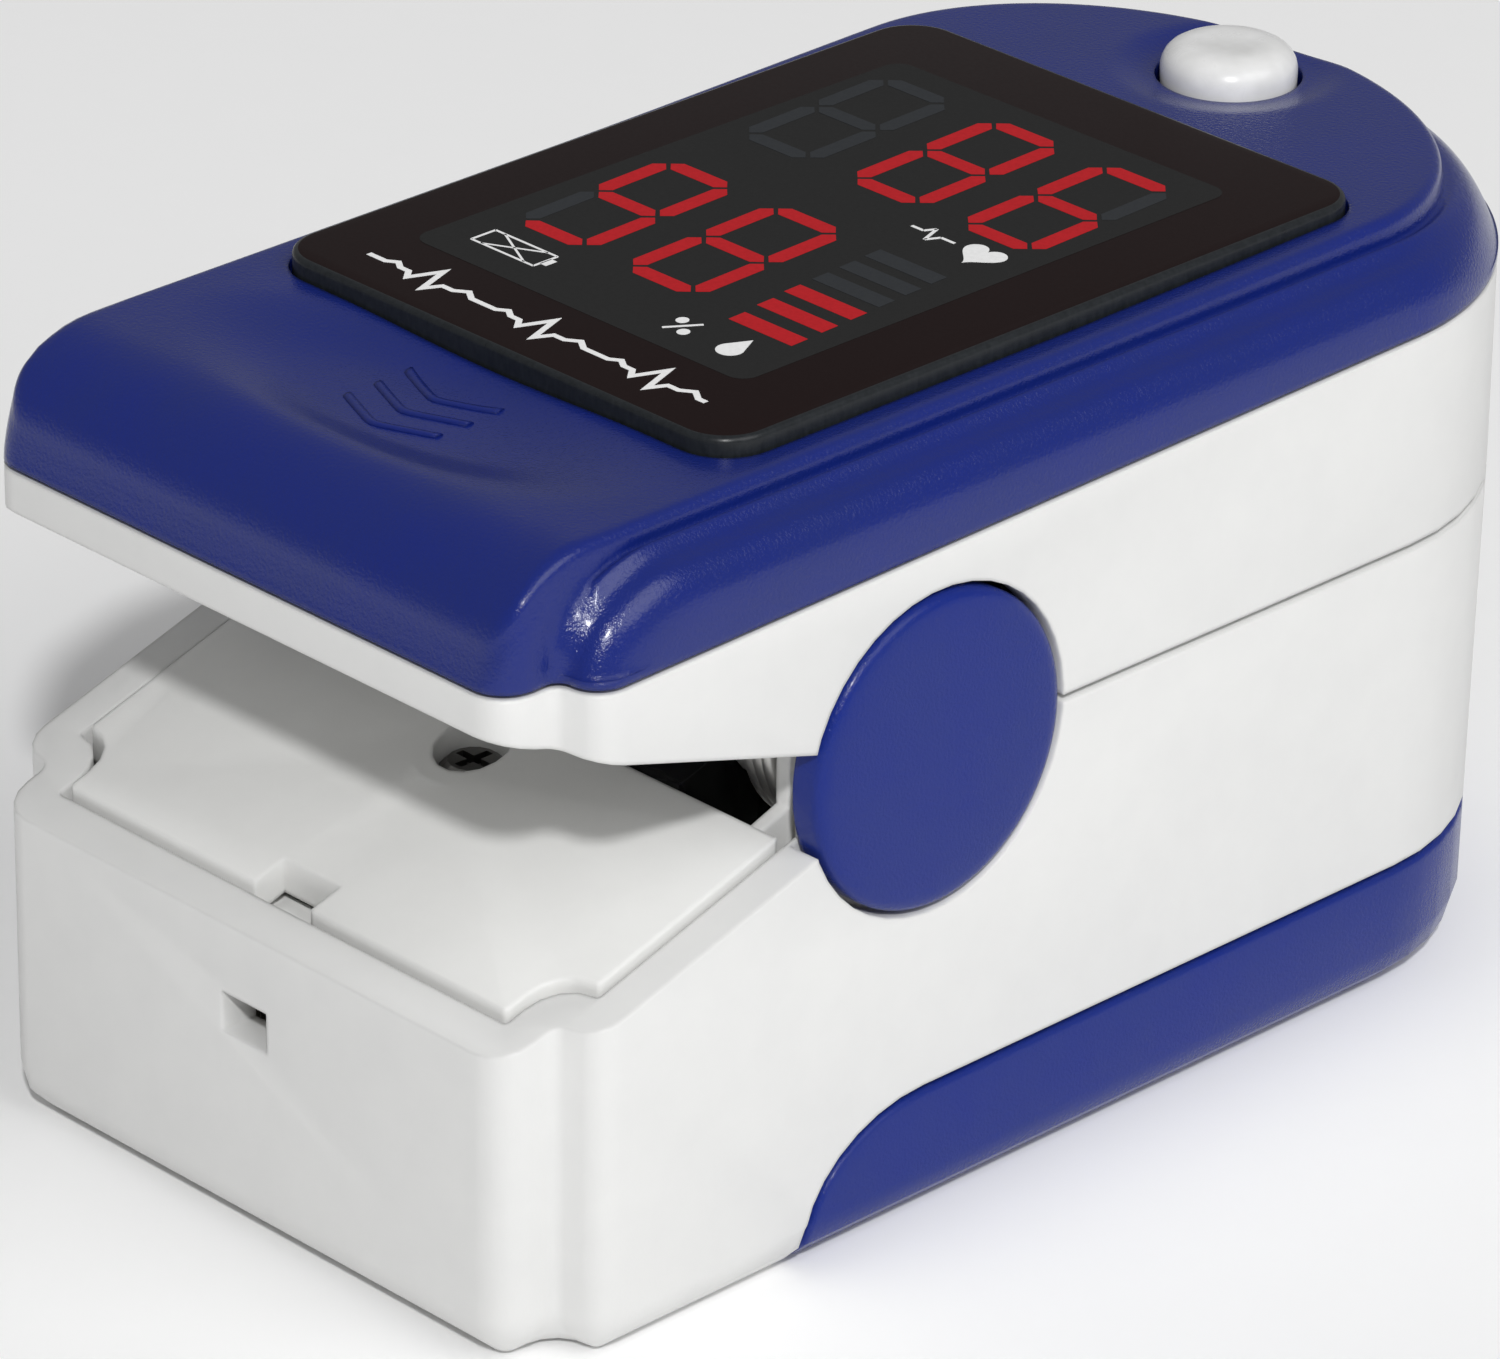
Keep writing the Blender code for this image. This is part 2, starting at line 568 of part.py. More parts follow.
def lower_finger_pad(way):
    z_low, z_high = LOWER_PAD_Z
    plan = outline(PAD_INSET, rear_draft(FLOOR_Z))
    pad = prism_z("lower_finger_pad", plan, z_low, z_high, BLACK_SILICONE)
    cut(pad, prism_x("lower_pad_top_cut", above_lower_half(-PAD_SINK), -FAR, FAR))
    cut(pad, box("lower_pad_front_cut", (-FAR, -FAR, 0), (FAR, PAD_FRONT_Y, FAR)))
    for side, (low, high) in mirrored_spans((PAD_NECK_HALF_WIDTH, FAR)):
        cut(pad, box(f"lower_neck_{side}", (low, -FAR, 0), (high, PAD_NECK_Y, FAR)))
    board_room, lens_room = sensor_rooms("detector", (z_low - 1, DETECTOR_BOARD_Z[1] + 0.45), z_low, 17.0)
    head_room = round_bore("rear_head_room", (0, SCREW_REAR_Y), SCREW_HEAD_R + GAP, z_low - 1, 14.1)
    bend_front, bend_rear = PAD_FRONT_Y - 1, RIBBON_FRONT_Y + 0.8
    under_board, over_ribbon = SENSOR_Y - SENSOR_BOARD_HALF[1] + 1.5, z_low + 0.5
    ribbon_path = [(under_board, z_low - 1), (under_board, over_ribbon), (bend_rear, over_ribbon),
                   (bend_rear, FAR), (bend_front, FAR), (bend_front, z_low - 1)]
    ribbon_room = prism_x("lower_ribbon_room", ribbon_path, -RIBBON_ROOM_HALF_WIDTH, RIBBON_ROOM_HALF_WIDTH)
    cut(pad, board_room, lens_room, head_room, ribbon_room, way)


def sensor_box(name, half_x, half_y, low_z, high_z, spec=None):
    """A block centred over the sensors."""
    return box(name, (-half_x, SENSOR_Y - half_y, low_z), (half_x, SENSOR_Y + half_y, high_z), spec)


def sensor_rooms(name, board_z, lens_low, lens_high):
    """Clearances in a pad for a sensor board and for the window over it."""
    half_x, half_y = (half + GAP for half in SENSOR_BOARD_HALF)
    lens = SENSOR_WINDOW_HALF + GAP
    board_room = sensor_box(f"{name}_room", half_x, half_y, *board_z)
    return board_room, sensor_box(f"{name}_lens_room", lens, lens, lens_low, lens_high)


def detector():
    board = sensor_box("detector_board", *SENSOR_BOARD_HALF, *DETECTOR_BOARD_Z, GREEN_BOARD)
    face = DETECTOR_BOARD_Z[1]
    add(board, sensor_box("photodiode", *SENSOR_CHIP_HALF, face - OVERLAP, face + LAMP_STAND))
    sensor_box("detector_window", SENSOR_WINDOW_HALF, SENSOR_WINDOW_HALF, *DETECTOR_WINDOW_Z, CLEAR_RED)


def battery_door():
    heights = (*BASE_EDGE_HEIGHTS, DOOR_SEAM_Z + 1)
    door = loft("battery_door", [casing_ring(z) for z in heights], BLUE_ABS)
    keep(door, prism_x("door_volume", door_profile(-SEAM_GAP), -FAR, FAR))
    hollow_plan = outline(DOOR_WALL, rear_draft(DOOR_FLOOR))
    cut(door, prism_z("door_hollow", hollow_plan, DOOR_FLOOR, FAR))
    for i in range(GRIP_GROOVES):
        y = GRIP_FRONT_Y + i * GRIP_PITCH
        low, high = (-GRIP_HALF_LENGTH, y, -1), (GRIP_HALF_LENGTH, y + GRIP_WIDTH, GRIP_DEPTH)
        cut(door, box(f"grip_groove_{i + 1}", low, high))


def cell(name, x, tip_end):
    """An AAA cell; tip_end is +1 when its positive tip points to the rear. Returns its flat end's y."""
    contact = CONTACT_REAR_Y if tip_end > 0 else CONTACT_FRONT_Y
    tip_y = contact - tip_end * TIP_GAP
    middle = tip_y - tip_end * CELL_LENGTH / 2
    half = CELL_LENGTH / 2
    tip_r, tip_length = CELL_TIP
    rim = CELL_RADIUS - CELL_RIM
    profile = [(rim, -half), (CELL_RADIUS, CELL_RIM - half), (CELL_RADIUS, half - tip_length - CELL_RIM),
               (rim, half - tip_length), (tip_r, half - tip_length), (tip_r, half)]
    turned(name, "Y", (x, middle, CELL_Z), [(r, tip_end * along) for r, along in profile], 28, CELL_JACKET)
    return middle - tip_end * half


def contact_plate(name, x_low, x_high, y):
    half = CONTACT_THICKNESS / 2
    return box(name, (x_low, y - half, CONTACT_Z[0]), (x_high, y + half, CONTACT_Z[1]), NICKEL)


def battery_spring(name, x, cell_y, contact_y):
    """A conical spring from a cell's flat end out to its contact plate."""
    steps = round(BATTERY_SPRING_TURNS * TURN_STEPS)
    outward = math.copysign(1, contact_y - cell_y)
    start = cell_y + outward * (SEAM_GAP + BATTERY_SPRING_WIRE_R)
    end = contact_y - outward * (SEAM_GAP + CONTACT_THICKNESS / 2 + BATTERY_SPRING_WIRE_R)
    narrow, wide = BATTERY_SPRING_RADII
    route = []
    for i in range(steps + 1):
        share = i / steps
        radius = narrow + (wide - narrow) * share
        turn = 2 * math.pi * BATTERY_SPRING_TURNS * share
        across, up = radius * math.cos(turn), radius * math.sin(turn)
        route.append((x + across, start + (end - start) * share, CELL_Z + up))
    wire_along(name, route, BATTERY_SPRING_WIRE_R, SPRING_STEEL, 1)


def cells_and_contacts():
    """The cells lie head to tail, in series through one bridge plate at the front."""
    reach = CELL_X + CONTACT_HALF_WIDTH
    contact_plate("contact_bridge", -reach, reach, CONTACT_FRONT_Y)
    inner = CELL_X - CONTACT_HALF_WIDTH
    contact_plate("contact_right", inner, reach, CONTACT_REAR_Y)
    contact_plate("contact_left", -reach, -inner, CONTACT_REAR_Y)
    right_end = cell("cell_right", CELL_X, -1)
    left_end = cell("cell_left", -CELL_X, 1)
    battery_spring("battery_spring_right", CELL_X, right_end, CONTACT_REAR_Y)
    battery_spring("battery_spring_left", -CELL_X, left_end, CONTACT_FRONT_Y)


def wire_along(name, route, radius, spec, resolution=2):
    curve = bpy.data.curves.new(name, "CURVE")
    curve.dimensions = "3D"
    curve.bevel_depth = radius * MM
    curve.bevel_resolution = resolution
    curve.use_fill_caps = True
    spline = curve.splines.new("POLY")
    spline.points.add(len(route) - 1)
    for point, place in zip(spline.points, route):
        point.co = (*(Vector(place) * MM), 1.0)
    made = bpy.data.objects.new(name, curve)
    curve.materials.append(material(spec))
    bpy.context.scene.collection.objects.link(made)
    return made


# ---- hinge ----

def hinge():
    centre = (0, AXIS_Y, AXIS_Z)
    for side, outward in (("right", 1), ("left", -1)):
        inner, outer = (outward * x for x in PIN_X)
        chamfer_end = inner + outward * PIN_CHAMFER
        pin = [(PIN_RADIUS - PIN_CHAMFER, inner), (PIN_RADIUS, chamfer_end), (PIN_RADIUS, outer)]
        turned(f"hinge_pin_{side}", "X", centre, pin[::outward], 20, SPRING_STEEL)
        inner, outer = (outward * x for x in CAP_X)
        cap = [(CAP_RADIUS, inner)] + [(CAP_RADIUS - into, outer - outward * down) for into, down in CAP_EDGE]
        turned(f"hinge_cap_{side}", "X", centre, cap[::outward], 40, BLUE_ABS)
    for side, (low, high) in mirrored_spans(SPRING_X):
        torsion_spring(f"torsion_spring_{side}", low, high)


def torsion_spring(name, x_low, x_high):
    """A coil about the hinge pin whose two legs run forward and push the front ends apart."""
    lower_lean, upper_lean = math.atan(LOWER_SLOPE), math.atan(UPPER_SLOPE)
    start = lower_lean - math.pi / 2
    sweep = 2 * math.pi * SPRING_WHOLE_TURNS + math.pi - lower_lean - upper_lean
    steps = round(sweep / (2 * math.pi) * TURN_STEPS)
    route = []
    for i in range(steps + 1):
        share = i / steps
        turn = start + sweep * share
        route.append(Vector((x_low + (x_high - x_low) * share,
                             AXIS_Y + SPRING_COIL_R * math.cos(turn),
                             AXIS_Z + SPRING_COIL_R * math.sin(turn))))
    lower_leg = Vector((0, -math.cos(lower_lean), -math.sin(lower_lean))) * SPRING_LEG
    upper_leg = Vector((0, -math.cos(upper_lean), math.sin(upper_lean))) * SPRING_LEG
    route = [route[0] + lower_leg] + route + [route[-1] + upper_leg]
    wire_along(name, route, SPRING_WIRE_R, SPRING_STEEL, 1)


# ---- upper half ----

def upper_shell():
    shell = prism_z("upper_shell", outline(), 15.0, lambda x, y: cover_seam(x, y) - SEAM_GAP, WHITE_ABS)
    cut(shell, prism_z("upper_cavity", outline(UPPER_WALL), 0.0, FAR))
    cut(shell, prism_x("upper_bottom_cut", below_upper_half(), -FAR, FAR))
    for side, (low, high) in mirrored_spans((OUTER_EAR_X[0], FAR)):
        cut(shell, hinge_cylinder(f"upper_pocket_{side}", CAP_POCKET_RADIUS, low, high, 40))
    cut(shell, rear_mouth("upper_mouth"))


def upper_frame():
    frame = prism_z("upper_frame", outline(UPPER_FRAME_INSET), UPPER_DECK_Z[0], UPPER_DECK_Z[1], WHITE_ABS)
    plate_rear = PLATE_REAR_Y - 2 * OVERLAP
    web_front = plate_rear - WEB_THICKNESS
    cut(frame, box("upper_deck_front_cut", (-FAR, -FAR, 0), (FAR, web_front + 2 * OVERLAP, FAR)))
    plate = prism_z(
        "upper_slope_plate", outline(UPPER_FRAME_INSET),
        lambda _x, y: upper_slope(y) + GAP,
        lambda _x, y: upper_slope(y) + GAP + UPPER_PLATE_THICKNESS)
    cut(plate, box("upper_plate_rear_cut", (-FAR, plate_rear, 0), (FAR, FAR, FAR)))
    web = box("upper_web", (-WEB_HALF_WIDTH, web_front, upper_slope(web_front) + 2 * GAP),
              (WEB_HALF_WIDTH, plate_rear, UPPER_DECK_Z[1] - OVERLAP))
    add(frame, web, plate)
    for side, (low, high) in mirrored_spans(UPPER_EAR_X):
        half = UPPER_EAR_HALF_LENGTH
        ear = ear_profile(half, half, UPPER_DECK_Z[0] + 2 * OVERLAP, -1)
        add(frame, prism_x(f"upper_ear_{side}", ear, low, high))
        bore = (low - 0.5, high + 0.5)
        cut(frame, hinge_cylinder(f"upper_bore_{side}", PIN_RADIUS + PIN_CLEARANCE, *bore, 20))
    for side, x in (("right", BOARD_SCREW_X), ("left", -BOARD_SCREW_X)):
        place = (x, BOARD_SCREW_Y)
        foot, top = UPPER_DECK_Z[1] - 2 * OVERLAP, BOARD_Z[0] - GAP
        add(frame, round_bore(f"board_boss_{side}", place, BOARD_BOSS_R, foot, top, 14))
        cut(frame, round_bore(f"board_boss_bore_{side}", place, SCREW_BORE_R, UPPER_DECK_Z[0] - 1, FAR))
    slot_low = (-RIBBON_ROOM_HALF_WIDTH, RIBBON_FRONT_Y - 0.7, UPPER_DECK_Z[0] - 1)
    slot_high = (RIBBON_ROOM_HALF_WIDTH, RIBBON_FRONT_Y + 0.7, FAR)
    cut(frame, box("upper_ribbon_slot", slot_low, slot_high))


def upper_finger_pad(way):
    z_low, z_high = UPPER_PAD_Z
    pad = prism_z("upper_finger_pad", outline(PAD_INSET), z_low, z_high, BLACK_SILICONE)
    cut(pad, prism_x("upper_pad_bottom_cut", below_upper_half(GAP / 2), -FAR, FAR))
    cut(pad, box("upper_pad_front_cut", (-FAR, -FAR, 0), (FAR, PAD_FRONT_Y, FAR)))
    for side, (low, high) in mirrored_spans((PAD_NECK_HALF_WIDTH, FAR)):
        cut(pad, box(f"upper_neck_{side}", (low, -FAR, 0), (high, PAD_NECK_Y, FAR)))
    board_room, lens_room = sensor_rooms("emitter", (EMITTER_BOARD_Z[0] - 0.35, FAR), 21.0, z_high)
    room_low = (-RIBBON_ROOM_HALF_WIDTH, PAD_FRONT_Y - 1, z_low - 1)
    room_high = (RIBBON_ROOM_HALF_WIDTH, RIBBON_FRONT_Y + 0.8, FAR)
    cut(pad, way, board_room, lens_room, box("upper_ribbon_room", room_low, room_high))


def emitter():
    board = sensor_box("emitter_board", *SENSOR_BOARD_HALF, *EMITTER_BOARD_Z, GREEN_BOARD)
    face = EMITTER_BOARD_Z[0]
    add(board, sensor_box("emitter_lamp", *EMITTER_LAMP_HALF, face - 0.25, face + OVERLAP))
    sensor_box("emitter_window", SENSOR_WINDOW_HALF, SENSOR_WINDOW_HALF, *EMITTER_WINDOW_Z, CLEAR_RED)


def sensor_ribbon():
    """Flat cable from the detector board, round in front of the pads, up to the main board."""
    low_z, high_z = RIBBON_Z
    front_y, bend = RIBBON_FRONT_Y, RIBBON_BEND
    board_edge = SENSOR_Y - SENSOR_BOARD_HALF[1] - 0.4
    route = [(board_edge, low_z), (front_y + bend, low_z), (front_y + bend / 3, low_z + bend / 3.6),
             (front_y, low_z + bend), (front_y, high_z - bend), (front_y + bend / 3, high_z - bend / 3.6),
             (front_y + bend, high_z), (front_y + 3.5, high_z)]
    half = RIBBON_HALF_THICKNESS
    normals = []
    for i, (y, z) in enumerate(route):
        before, after = route[max(i - 1, 0)], route[min(i + 1, len(route) - 1)]
        along = Vector((after[0] - before[0], after[1] - before[1])).normalized()
        normals.append((-along.y * half, along.x * half))
    one = [(y + n[0], z + n[1]) for (y, z), n in zip(route, normals)]
    two = [(y - n[0], z - n[1]) for (y, z), n in zip(route, normals)]
    prism_x("sensor_ribbon", one + two[::-1], -RIBBON_HALF_WIDTH, RIBBON_HALF_WIDTH, RIBBON_AMBER)


def rounded_rectangle(half_width, y_low, y_high, radius):
    plan = arc(half_width - radius, y_low + radius, radius, radius, -90, 0, 6)
    plan += arc(half_width - radius, y_high - radius, radius, radius, 0, 90, 6)
    return plan + [(-x, y) for x, y in reversed(plan)]


def half_width_at(y):
    """Half the plan's width at y, read from the outline's own corner points."""
    half = [p for p in outline() if p[0] >= 0]
    for (x_a, y_a), (x_b, y_b) in zip(half, half[1:]):
        if y_a <= y <= y_b and y_b > y_a:
            return x_a + (x_b - x_a) * (y - y_a) / (y_b - y_a)
    return half[0][0]


# Cover's height against the distance in from the outline: shoulder, valley, then the platform
COVER_STEPS = ((0.0, 28.1), (0.25, 28.8), (0.6, 29.3), (1.1, 29.7), (1.7, 29.95), (1.95, 30.1),
               (2.2, 30.4), (2.5, 30.5), (2.8, 30.9), (3.2, 31.0), (99.0, 31.0))


def cover_height(x, y):
    across = abs(x)
    if y < STEP_Y:
        edge = max(0.0, 1.0 - (NOSE_HALF_WIDTH - across))
        height = COVER_TOP_Z - edge * edge
    else:
        inset = HALF_WIDTH - across
        if y > REAR_CENTRE_Y:
            behind = y - REAR_CENTRE_Y
            reach = math.hypot(across / HALF_WIDTH, behind / REAR_DEPTH)
            lean = math.atan2(behind, across)
            inset = (1 - reach) * (HALF_WIDTH * math.cos(lean) ** 2 + REAR_DEPTH * math.sin(lean) ** 2)
        height = ramp(COVER_STEPS, inset)
        if across > NOSE_HALF_WIDTH - SMALLEST_R:
            end = min(1.0, max(0.0, y - STEP_Y) / SHOULDER_FRONT_LENGTH)
            foot, rise = SHOULDER_FRONT_Z
            height = min(height, foot + rise * math.sqrt(1 - (1 - end) ** 2))
    nose_y, nose_z = COVER_NOSE_CENTRE
    if y < nose_y:
        share = min(1.0, (nose_y - y) / COVER_NOSE_RADII[0])
        height = min(height, nose_z + COVER_NOSE_RADII[1] * math.sqrt(1 - share * share))
    return max(height, cover_seam(x, y) + COVER_LEAST_Z)


def ramp(steps, value):
    for (a, low), (b, high) in zip(steps, steps[1:]):
        if value <= b:
            return low + (high - low) * max(0.0, value - a) / (b - a)
    return steps[-1][1]


def top_cover():
    """Sections across the width from front to rear; the last stands just short of the rear point."""
    stations = sorted({round(y, 3) for _x, y in outline()} | set(COVER_NOSE_STATIONS))
    stations[-1] -= 0.02
    insets = [step[0] for step in COVER_STEPS[:-1]] + [COVER_MIDDLE_INSET]
    rings = []
    for y in stations:
        width = half_width_at(y)
        shares = [width * (1 - inset / HALF_WIDTH) for inset in insets]
        across = [-x for x in shares] + shares[::-1]
        top = [(x, y, cover_height(x, y)) for x in across]
        floor = cover_seam(0, y) + SEAM_GAP
        rings.append(top + [(width, y, floor), (-width, y, floor)])
    cover = loft("top_cover", rings, BLUE_ABS)
    cut(cover, prism_z("cover_hollow", outline(COVER_WALL), 0.0, COVER_HOLLOW_Z))
    hollow_plan = outline(COVER_TOP_HOLLOW_INSET)
    upper_hollow = prism_z("cover_upper_hollow", hollow_plan, 0.0, COVER_TOP_HOLLOW_Z)
    cut(upper_hollow, box("nose_room", (-FAR, -FAR, -1), (FAR, COVER_TOP_HOLLOW_FRONT_Y, FAR)))
    y_low, y_high = WINDOW_Y[0] - SEAM_GAP, WINDOW_Y[1] + SEAM_GAP
    recess = rounded_rectangle(WINDOW_HALF_WIDTH + SEAM_GAP, y_low, y_high, WINDOW_CORNER_R)
    seat = prism_z("window_recess", recess, WINDOW_Z[0] - SEAM_GAP, FAR)
    well = box("display_well", (-WELL_HALF_WIDTH, WELL_Y[0], 0), (WELL_HALF_WIDTH, WELL_Y[1], FAR))
    button_place = (0, BUTTON_Y)
    room_r = BUTTON_RADIUS + BUTTON_CLEARANCE
    button_room = round_bore("button_room", button_place, room_r, BUTTON_SEAT_Z, FAR, 32)
    stem_room = round_bore("stem_room", button_place, BUTTON_STEM_R + GAP, 0, FAR, 16)
    cut(cover, upper_hollow, seat, well, button_room, stem_room)


def display():
    y_low, y_high = WINDOW_Y
    z_low, z_high = WINDOW_Z
    rings = []
    for inset, z in ((0.0, z_low), (0.0, z_high - GAP), (WINDOW_CHAMFER, z_high)):
        corner = WINDOW_CORNER_R - inset
        plan = rounded_rectangle(WINDOW_HALF_WIDTH - inset, y_low + inset, y_high - inset, corner)
        rings.append([(x, y, z) for x, y in plan])
    loft("display_window", rings, WINDOW_BLACK)
    low = (GAP - WELL_HALF_WIDTH, WELL_Y[0] + GAP, DISPLAY_Z[0])
    high = (WELL_HALF_WIDTH - GAP, WELL_Y[1] - GAP, DISPLAY_Z[1])
    box("display_module", low, high, DISPLAY_GREY)


def electronics():
    board = prism_z("main_board", outline(BOARD_INSET), BOARD_Z[0], BOARD_Z[1], GREEN_BOARD)
    cut(board, box("board_front_cut", (-FAR, -FAR, 0), (FAR, BOARD_Y[0], FAR)))
    cut(board, box("board_rear_cut", (-FAR, BOARD_Y[1], 0), (FAR, FAR, FAR)))
    chip_z = BOARD_Z[1] + CHIP_STAND
    (x_low, x_high), (y_low, y_high) = PROCESSOR_X, PROCESSOR_Y
    box("processor", (x_low, y_low, chip_z), (x_high, y_high, chip_z + PROCESSOR_HEIGHT), CHIP_BLACK)
    half_x, half_y = SWITCH_HALF
    low, high = (-half_x, BUTTON_Y - half_y, chip_z), (half_x, BUTTON_Y + half_y, SWITCH_TOP_Z)
    body = box("button_switch", low, high, CHIP_BLACK)
    room_r, room_floor = PLUNGER_RADIUS + PLUNGER_CLEARANCE, SWITCH_TOP_Z - PLUNGER_ROOM_DEPTH
    cut(body, round_bore("plunger_room", (0, BUTTON_Y), room_r, room_floor, FAR, 16))
    for side, x in (("right", BOARD_SCREW_X), ("left", -BOARD_SCREW_X)):
        cut(board, round_bore(f"board_bore_{side}", (x, BOARD_SCREW_Y), SCREW_BORE_R, BOARD_Z[0] - 1, FAR))
        screw(f"board_screw_{side}", x, BOARD_SCREW_Y, chip_z, BOARD_SCREW_LENGTH)


def power_button():
    low, high = BUTTON_Z
    dome = [(BUTTON_STEM_R, low), (BUTTON_STEM_R, BUTTON_FLOOR_Z), (BUTTON_RADIUS, BUTTON_FLOOR_Z)]
    dome += [(BUTTON_RADIUS - into, high - down) for into, down in BUTTON_DOME]
    turned("power_button", "Z", (0, BUTTON_Y, 0), dome, 32, WHITE_ABS)


def switch_plunger():
    profile = [(PLUNGER_RADIUS, SWITCH_TOP_Z - 0.35), (PLUNGER_RADIUS, BUTTON_Z[0] - GAP)]
    turned("switch_plunger", "Z", (0, BUTTON_Y, 0), profile, 16, CHIP_BLACK)


# ---- joints' axes ----

def pivot(name, place, parent=None):
    empty = bpy.data.objects.new(name, None)
    empty.empty_display_size = 0.01
    bpy.context.scene.collection.objects.link(empty)
    empty.location = Vector(place) * MM
    attach(empty, parent)
    return empty


def attach(thing, parent):
    """Parents a thing where it stands. Every pivot is only shifted, so its world place is its location."""
    if parent:
        thing.parent = parent
        thing.matrix_parent_inverse = Matrix.Translation(-parent.location)


def group_moving_pieces():
    clamp = pivot("clamp_hinge", (0, AXIS_Y, AXIS_Z))
    press = pivot("button_press", (0, BUTTON_Y, BUTTON_Z[0]), clamp)
    slide = pivot("door_slide", (0, DOOR_FRONT_Y, 0))
    for name in UPPER_PIECES:
        attach(bpy.data.objects[name], clamp)
    for name in ("power_button", "switch_plunger"):
        attach(bpy.data.objects[name], press)
    attach(bpy.data.objects["battery_door"], slide)


def clear_scene():
    for thing in list(bpy.data.objects):
        bpy.data.objects.remove(thing, do_unlink=True)


def main():
    clear_scene()
    way = finger_way("finger_way")
    lower_shell()
    lower_frame()
    lower_finger_pad(way)
    detector()
    battery_door()
    cells_and_contacts()
    screw("front_screw", 0, SCREW_FRONT_Y, FRONT_SCREW_SEAT_Z + OVERLAP, FRONT_SCREW_LENGTH)
    screw("rear_screw", 0, SCREW_REAR_Y, LOWER_DECK_Z[1] + OVERLAP, REAR_SCREW_LENGTH)
    hinge()
    sensor_ribbon()
    upper_shell()
    upper_frame()
    upper_finger_pad(way)
    emitter()
    top_cover()
    display()
    electronics()
    power_button()
    switch_plunger()
    group_moving_pieces()


main()
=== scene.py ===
# Fingertip pulse oximeter: finishes, fine shapes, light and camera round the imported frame.
# Distances in the dictionaries are millimetres; mm turns them into metres.
import math

import bpy
import bmesh
from mathutils import Matrix, Vector


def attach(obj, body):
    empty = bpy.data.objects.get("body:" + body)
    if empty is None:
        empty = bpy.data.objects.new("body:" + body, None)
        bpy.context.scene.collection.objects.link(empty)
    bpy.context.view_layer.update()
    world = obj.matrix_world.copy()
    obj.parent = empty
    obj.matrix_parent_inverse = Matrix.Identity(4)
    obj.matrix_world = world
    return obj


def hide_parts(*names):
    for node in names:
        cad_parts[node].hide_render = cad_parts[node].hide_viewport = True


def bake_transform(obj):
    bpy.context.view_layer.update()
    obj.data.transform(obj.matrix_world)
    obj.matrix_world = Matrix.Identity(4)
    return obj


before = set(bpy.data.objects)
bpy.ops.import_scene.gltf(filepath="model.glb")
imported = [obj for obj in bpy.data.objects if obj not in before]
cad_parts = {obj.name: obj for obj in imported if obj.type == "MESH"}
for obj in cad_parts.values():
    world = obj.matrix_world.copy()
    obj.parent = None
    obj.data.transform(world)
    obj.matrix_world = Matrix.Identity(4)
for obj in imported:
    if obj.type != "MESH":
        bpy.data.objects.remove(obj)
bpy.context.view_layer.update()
print("frame loaded:", len(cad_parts), "nodes")

mm = 0.001
bpy.context.scene.view_settings.view_transform = "Standard"


def clearSelection():
    if bpy.context.mode != "OBJECT":
        bpy.ops.object.mode_set(mode="OBJECT")
    bpy.ops.object.select_all(action="DESELECT")


def pick(piece):
    clearSelection()
    piece.select_set(True)
    bpy.context.view_layer.objects.active = piece


def editPiece(piece, selectMode="FACE"):
    pick(piece)
    bpy.ops.object.mode_set(mode="EDIT")
    bpy.ops.mesh.select_mode(type=selectMode)


def leaveEdit():
    bpy.ops.object.mode_set(mode="OBJECT")


def selectParts(piece, kind, test):
    # kind is verts, edges or faces; test gets one of them
    editPiece(piece, {"verts": "VERT", "edges": "EDGE", "faces": "FACE"}[kind])
    bpy.ops.mesh.select_all(action="DESELECT")
    mesh = bmesh.from_edit_mesh(piece.data)
    for part in getattr(mesh, kind):
        if test(part):
            part.select_set(True)
    mesh.select_flush_mode()
    bmesh.update_edit_mesh(piece.data)


def applyModifier(piece, kind, **settings):
    pick(piece)
    modifier = piece.modifiers.new(kind.lower(), kind)
    for key, value in settings.items():
        setattr(modifier, key, value)
    bpy.ops.object.modifier_apply(modifier=modifier.name)


def block(name, low, high):
    # a cube primitive at its own size and place
    centre = [(a + b) / 2 * mm for a, b in zip(low, high)]
    size = [(b - a) * mm for a, b in zip(low, high)]
    clearSelection()
    bpy.ops.mesh.primitive_cube_add(size=1, location=centre)
    piece = bpy.context.active_object
    piece.name = name
    piece.scale = size
    bpy.ops.object.transform_apply(location=True, rotation=True, scale=True)
    return piece


def bevelEdges(piece, width, segments, test):
    selectParts(piece, "edges", test)
    bpy.ops.mesh.bevel(offset=width * mm, segments=segments, affect="EDGES", profile=0.5)
    leaveEdit()


def isUpright(edge):
    a, b = (v.co for v in edge.verts)
    return abs(a.x - b.x) < 1e-7 and abs(a.y - b.y) < 1e-7


def cutWith(piece, cutter, operation="DIFFERENCE"):
    applyModifier(piece, "BOOLEAN", operation=operation, object=cutter, solver="EXACT")
    bpy.data.objects.remove(cutter)


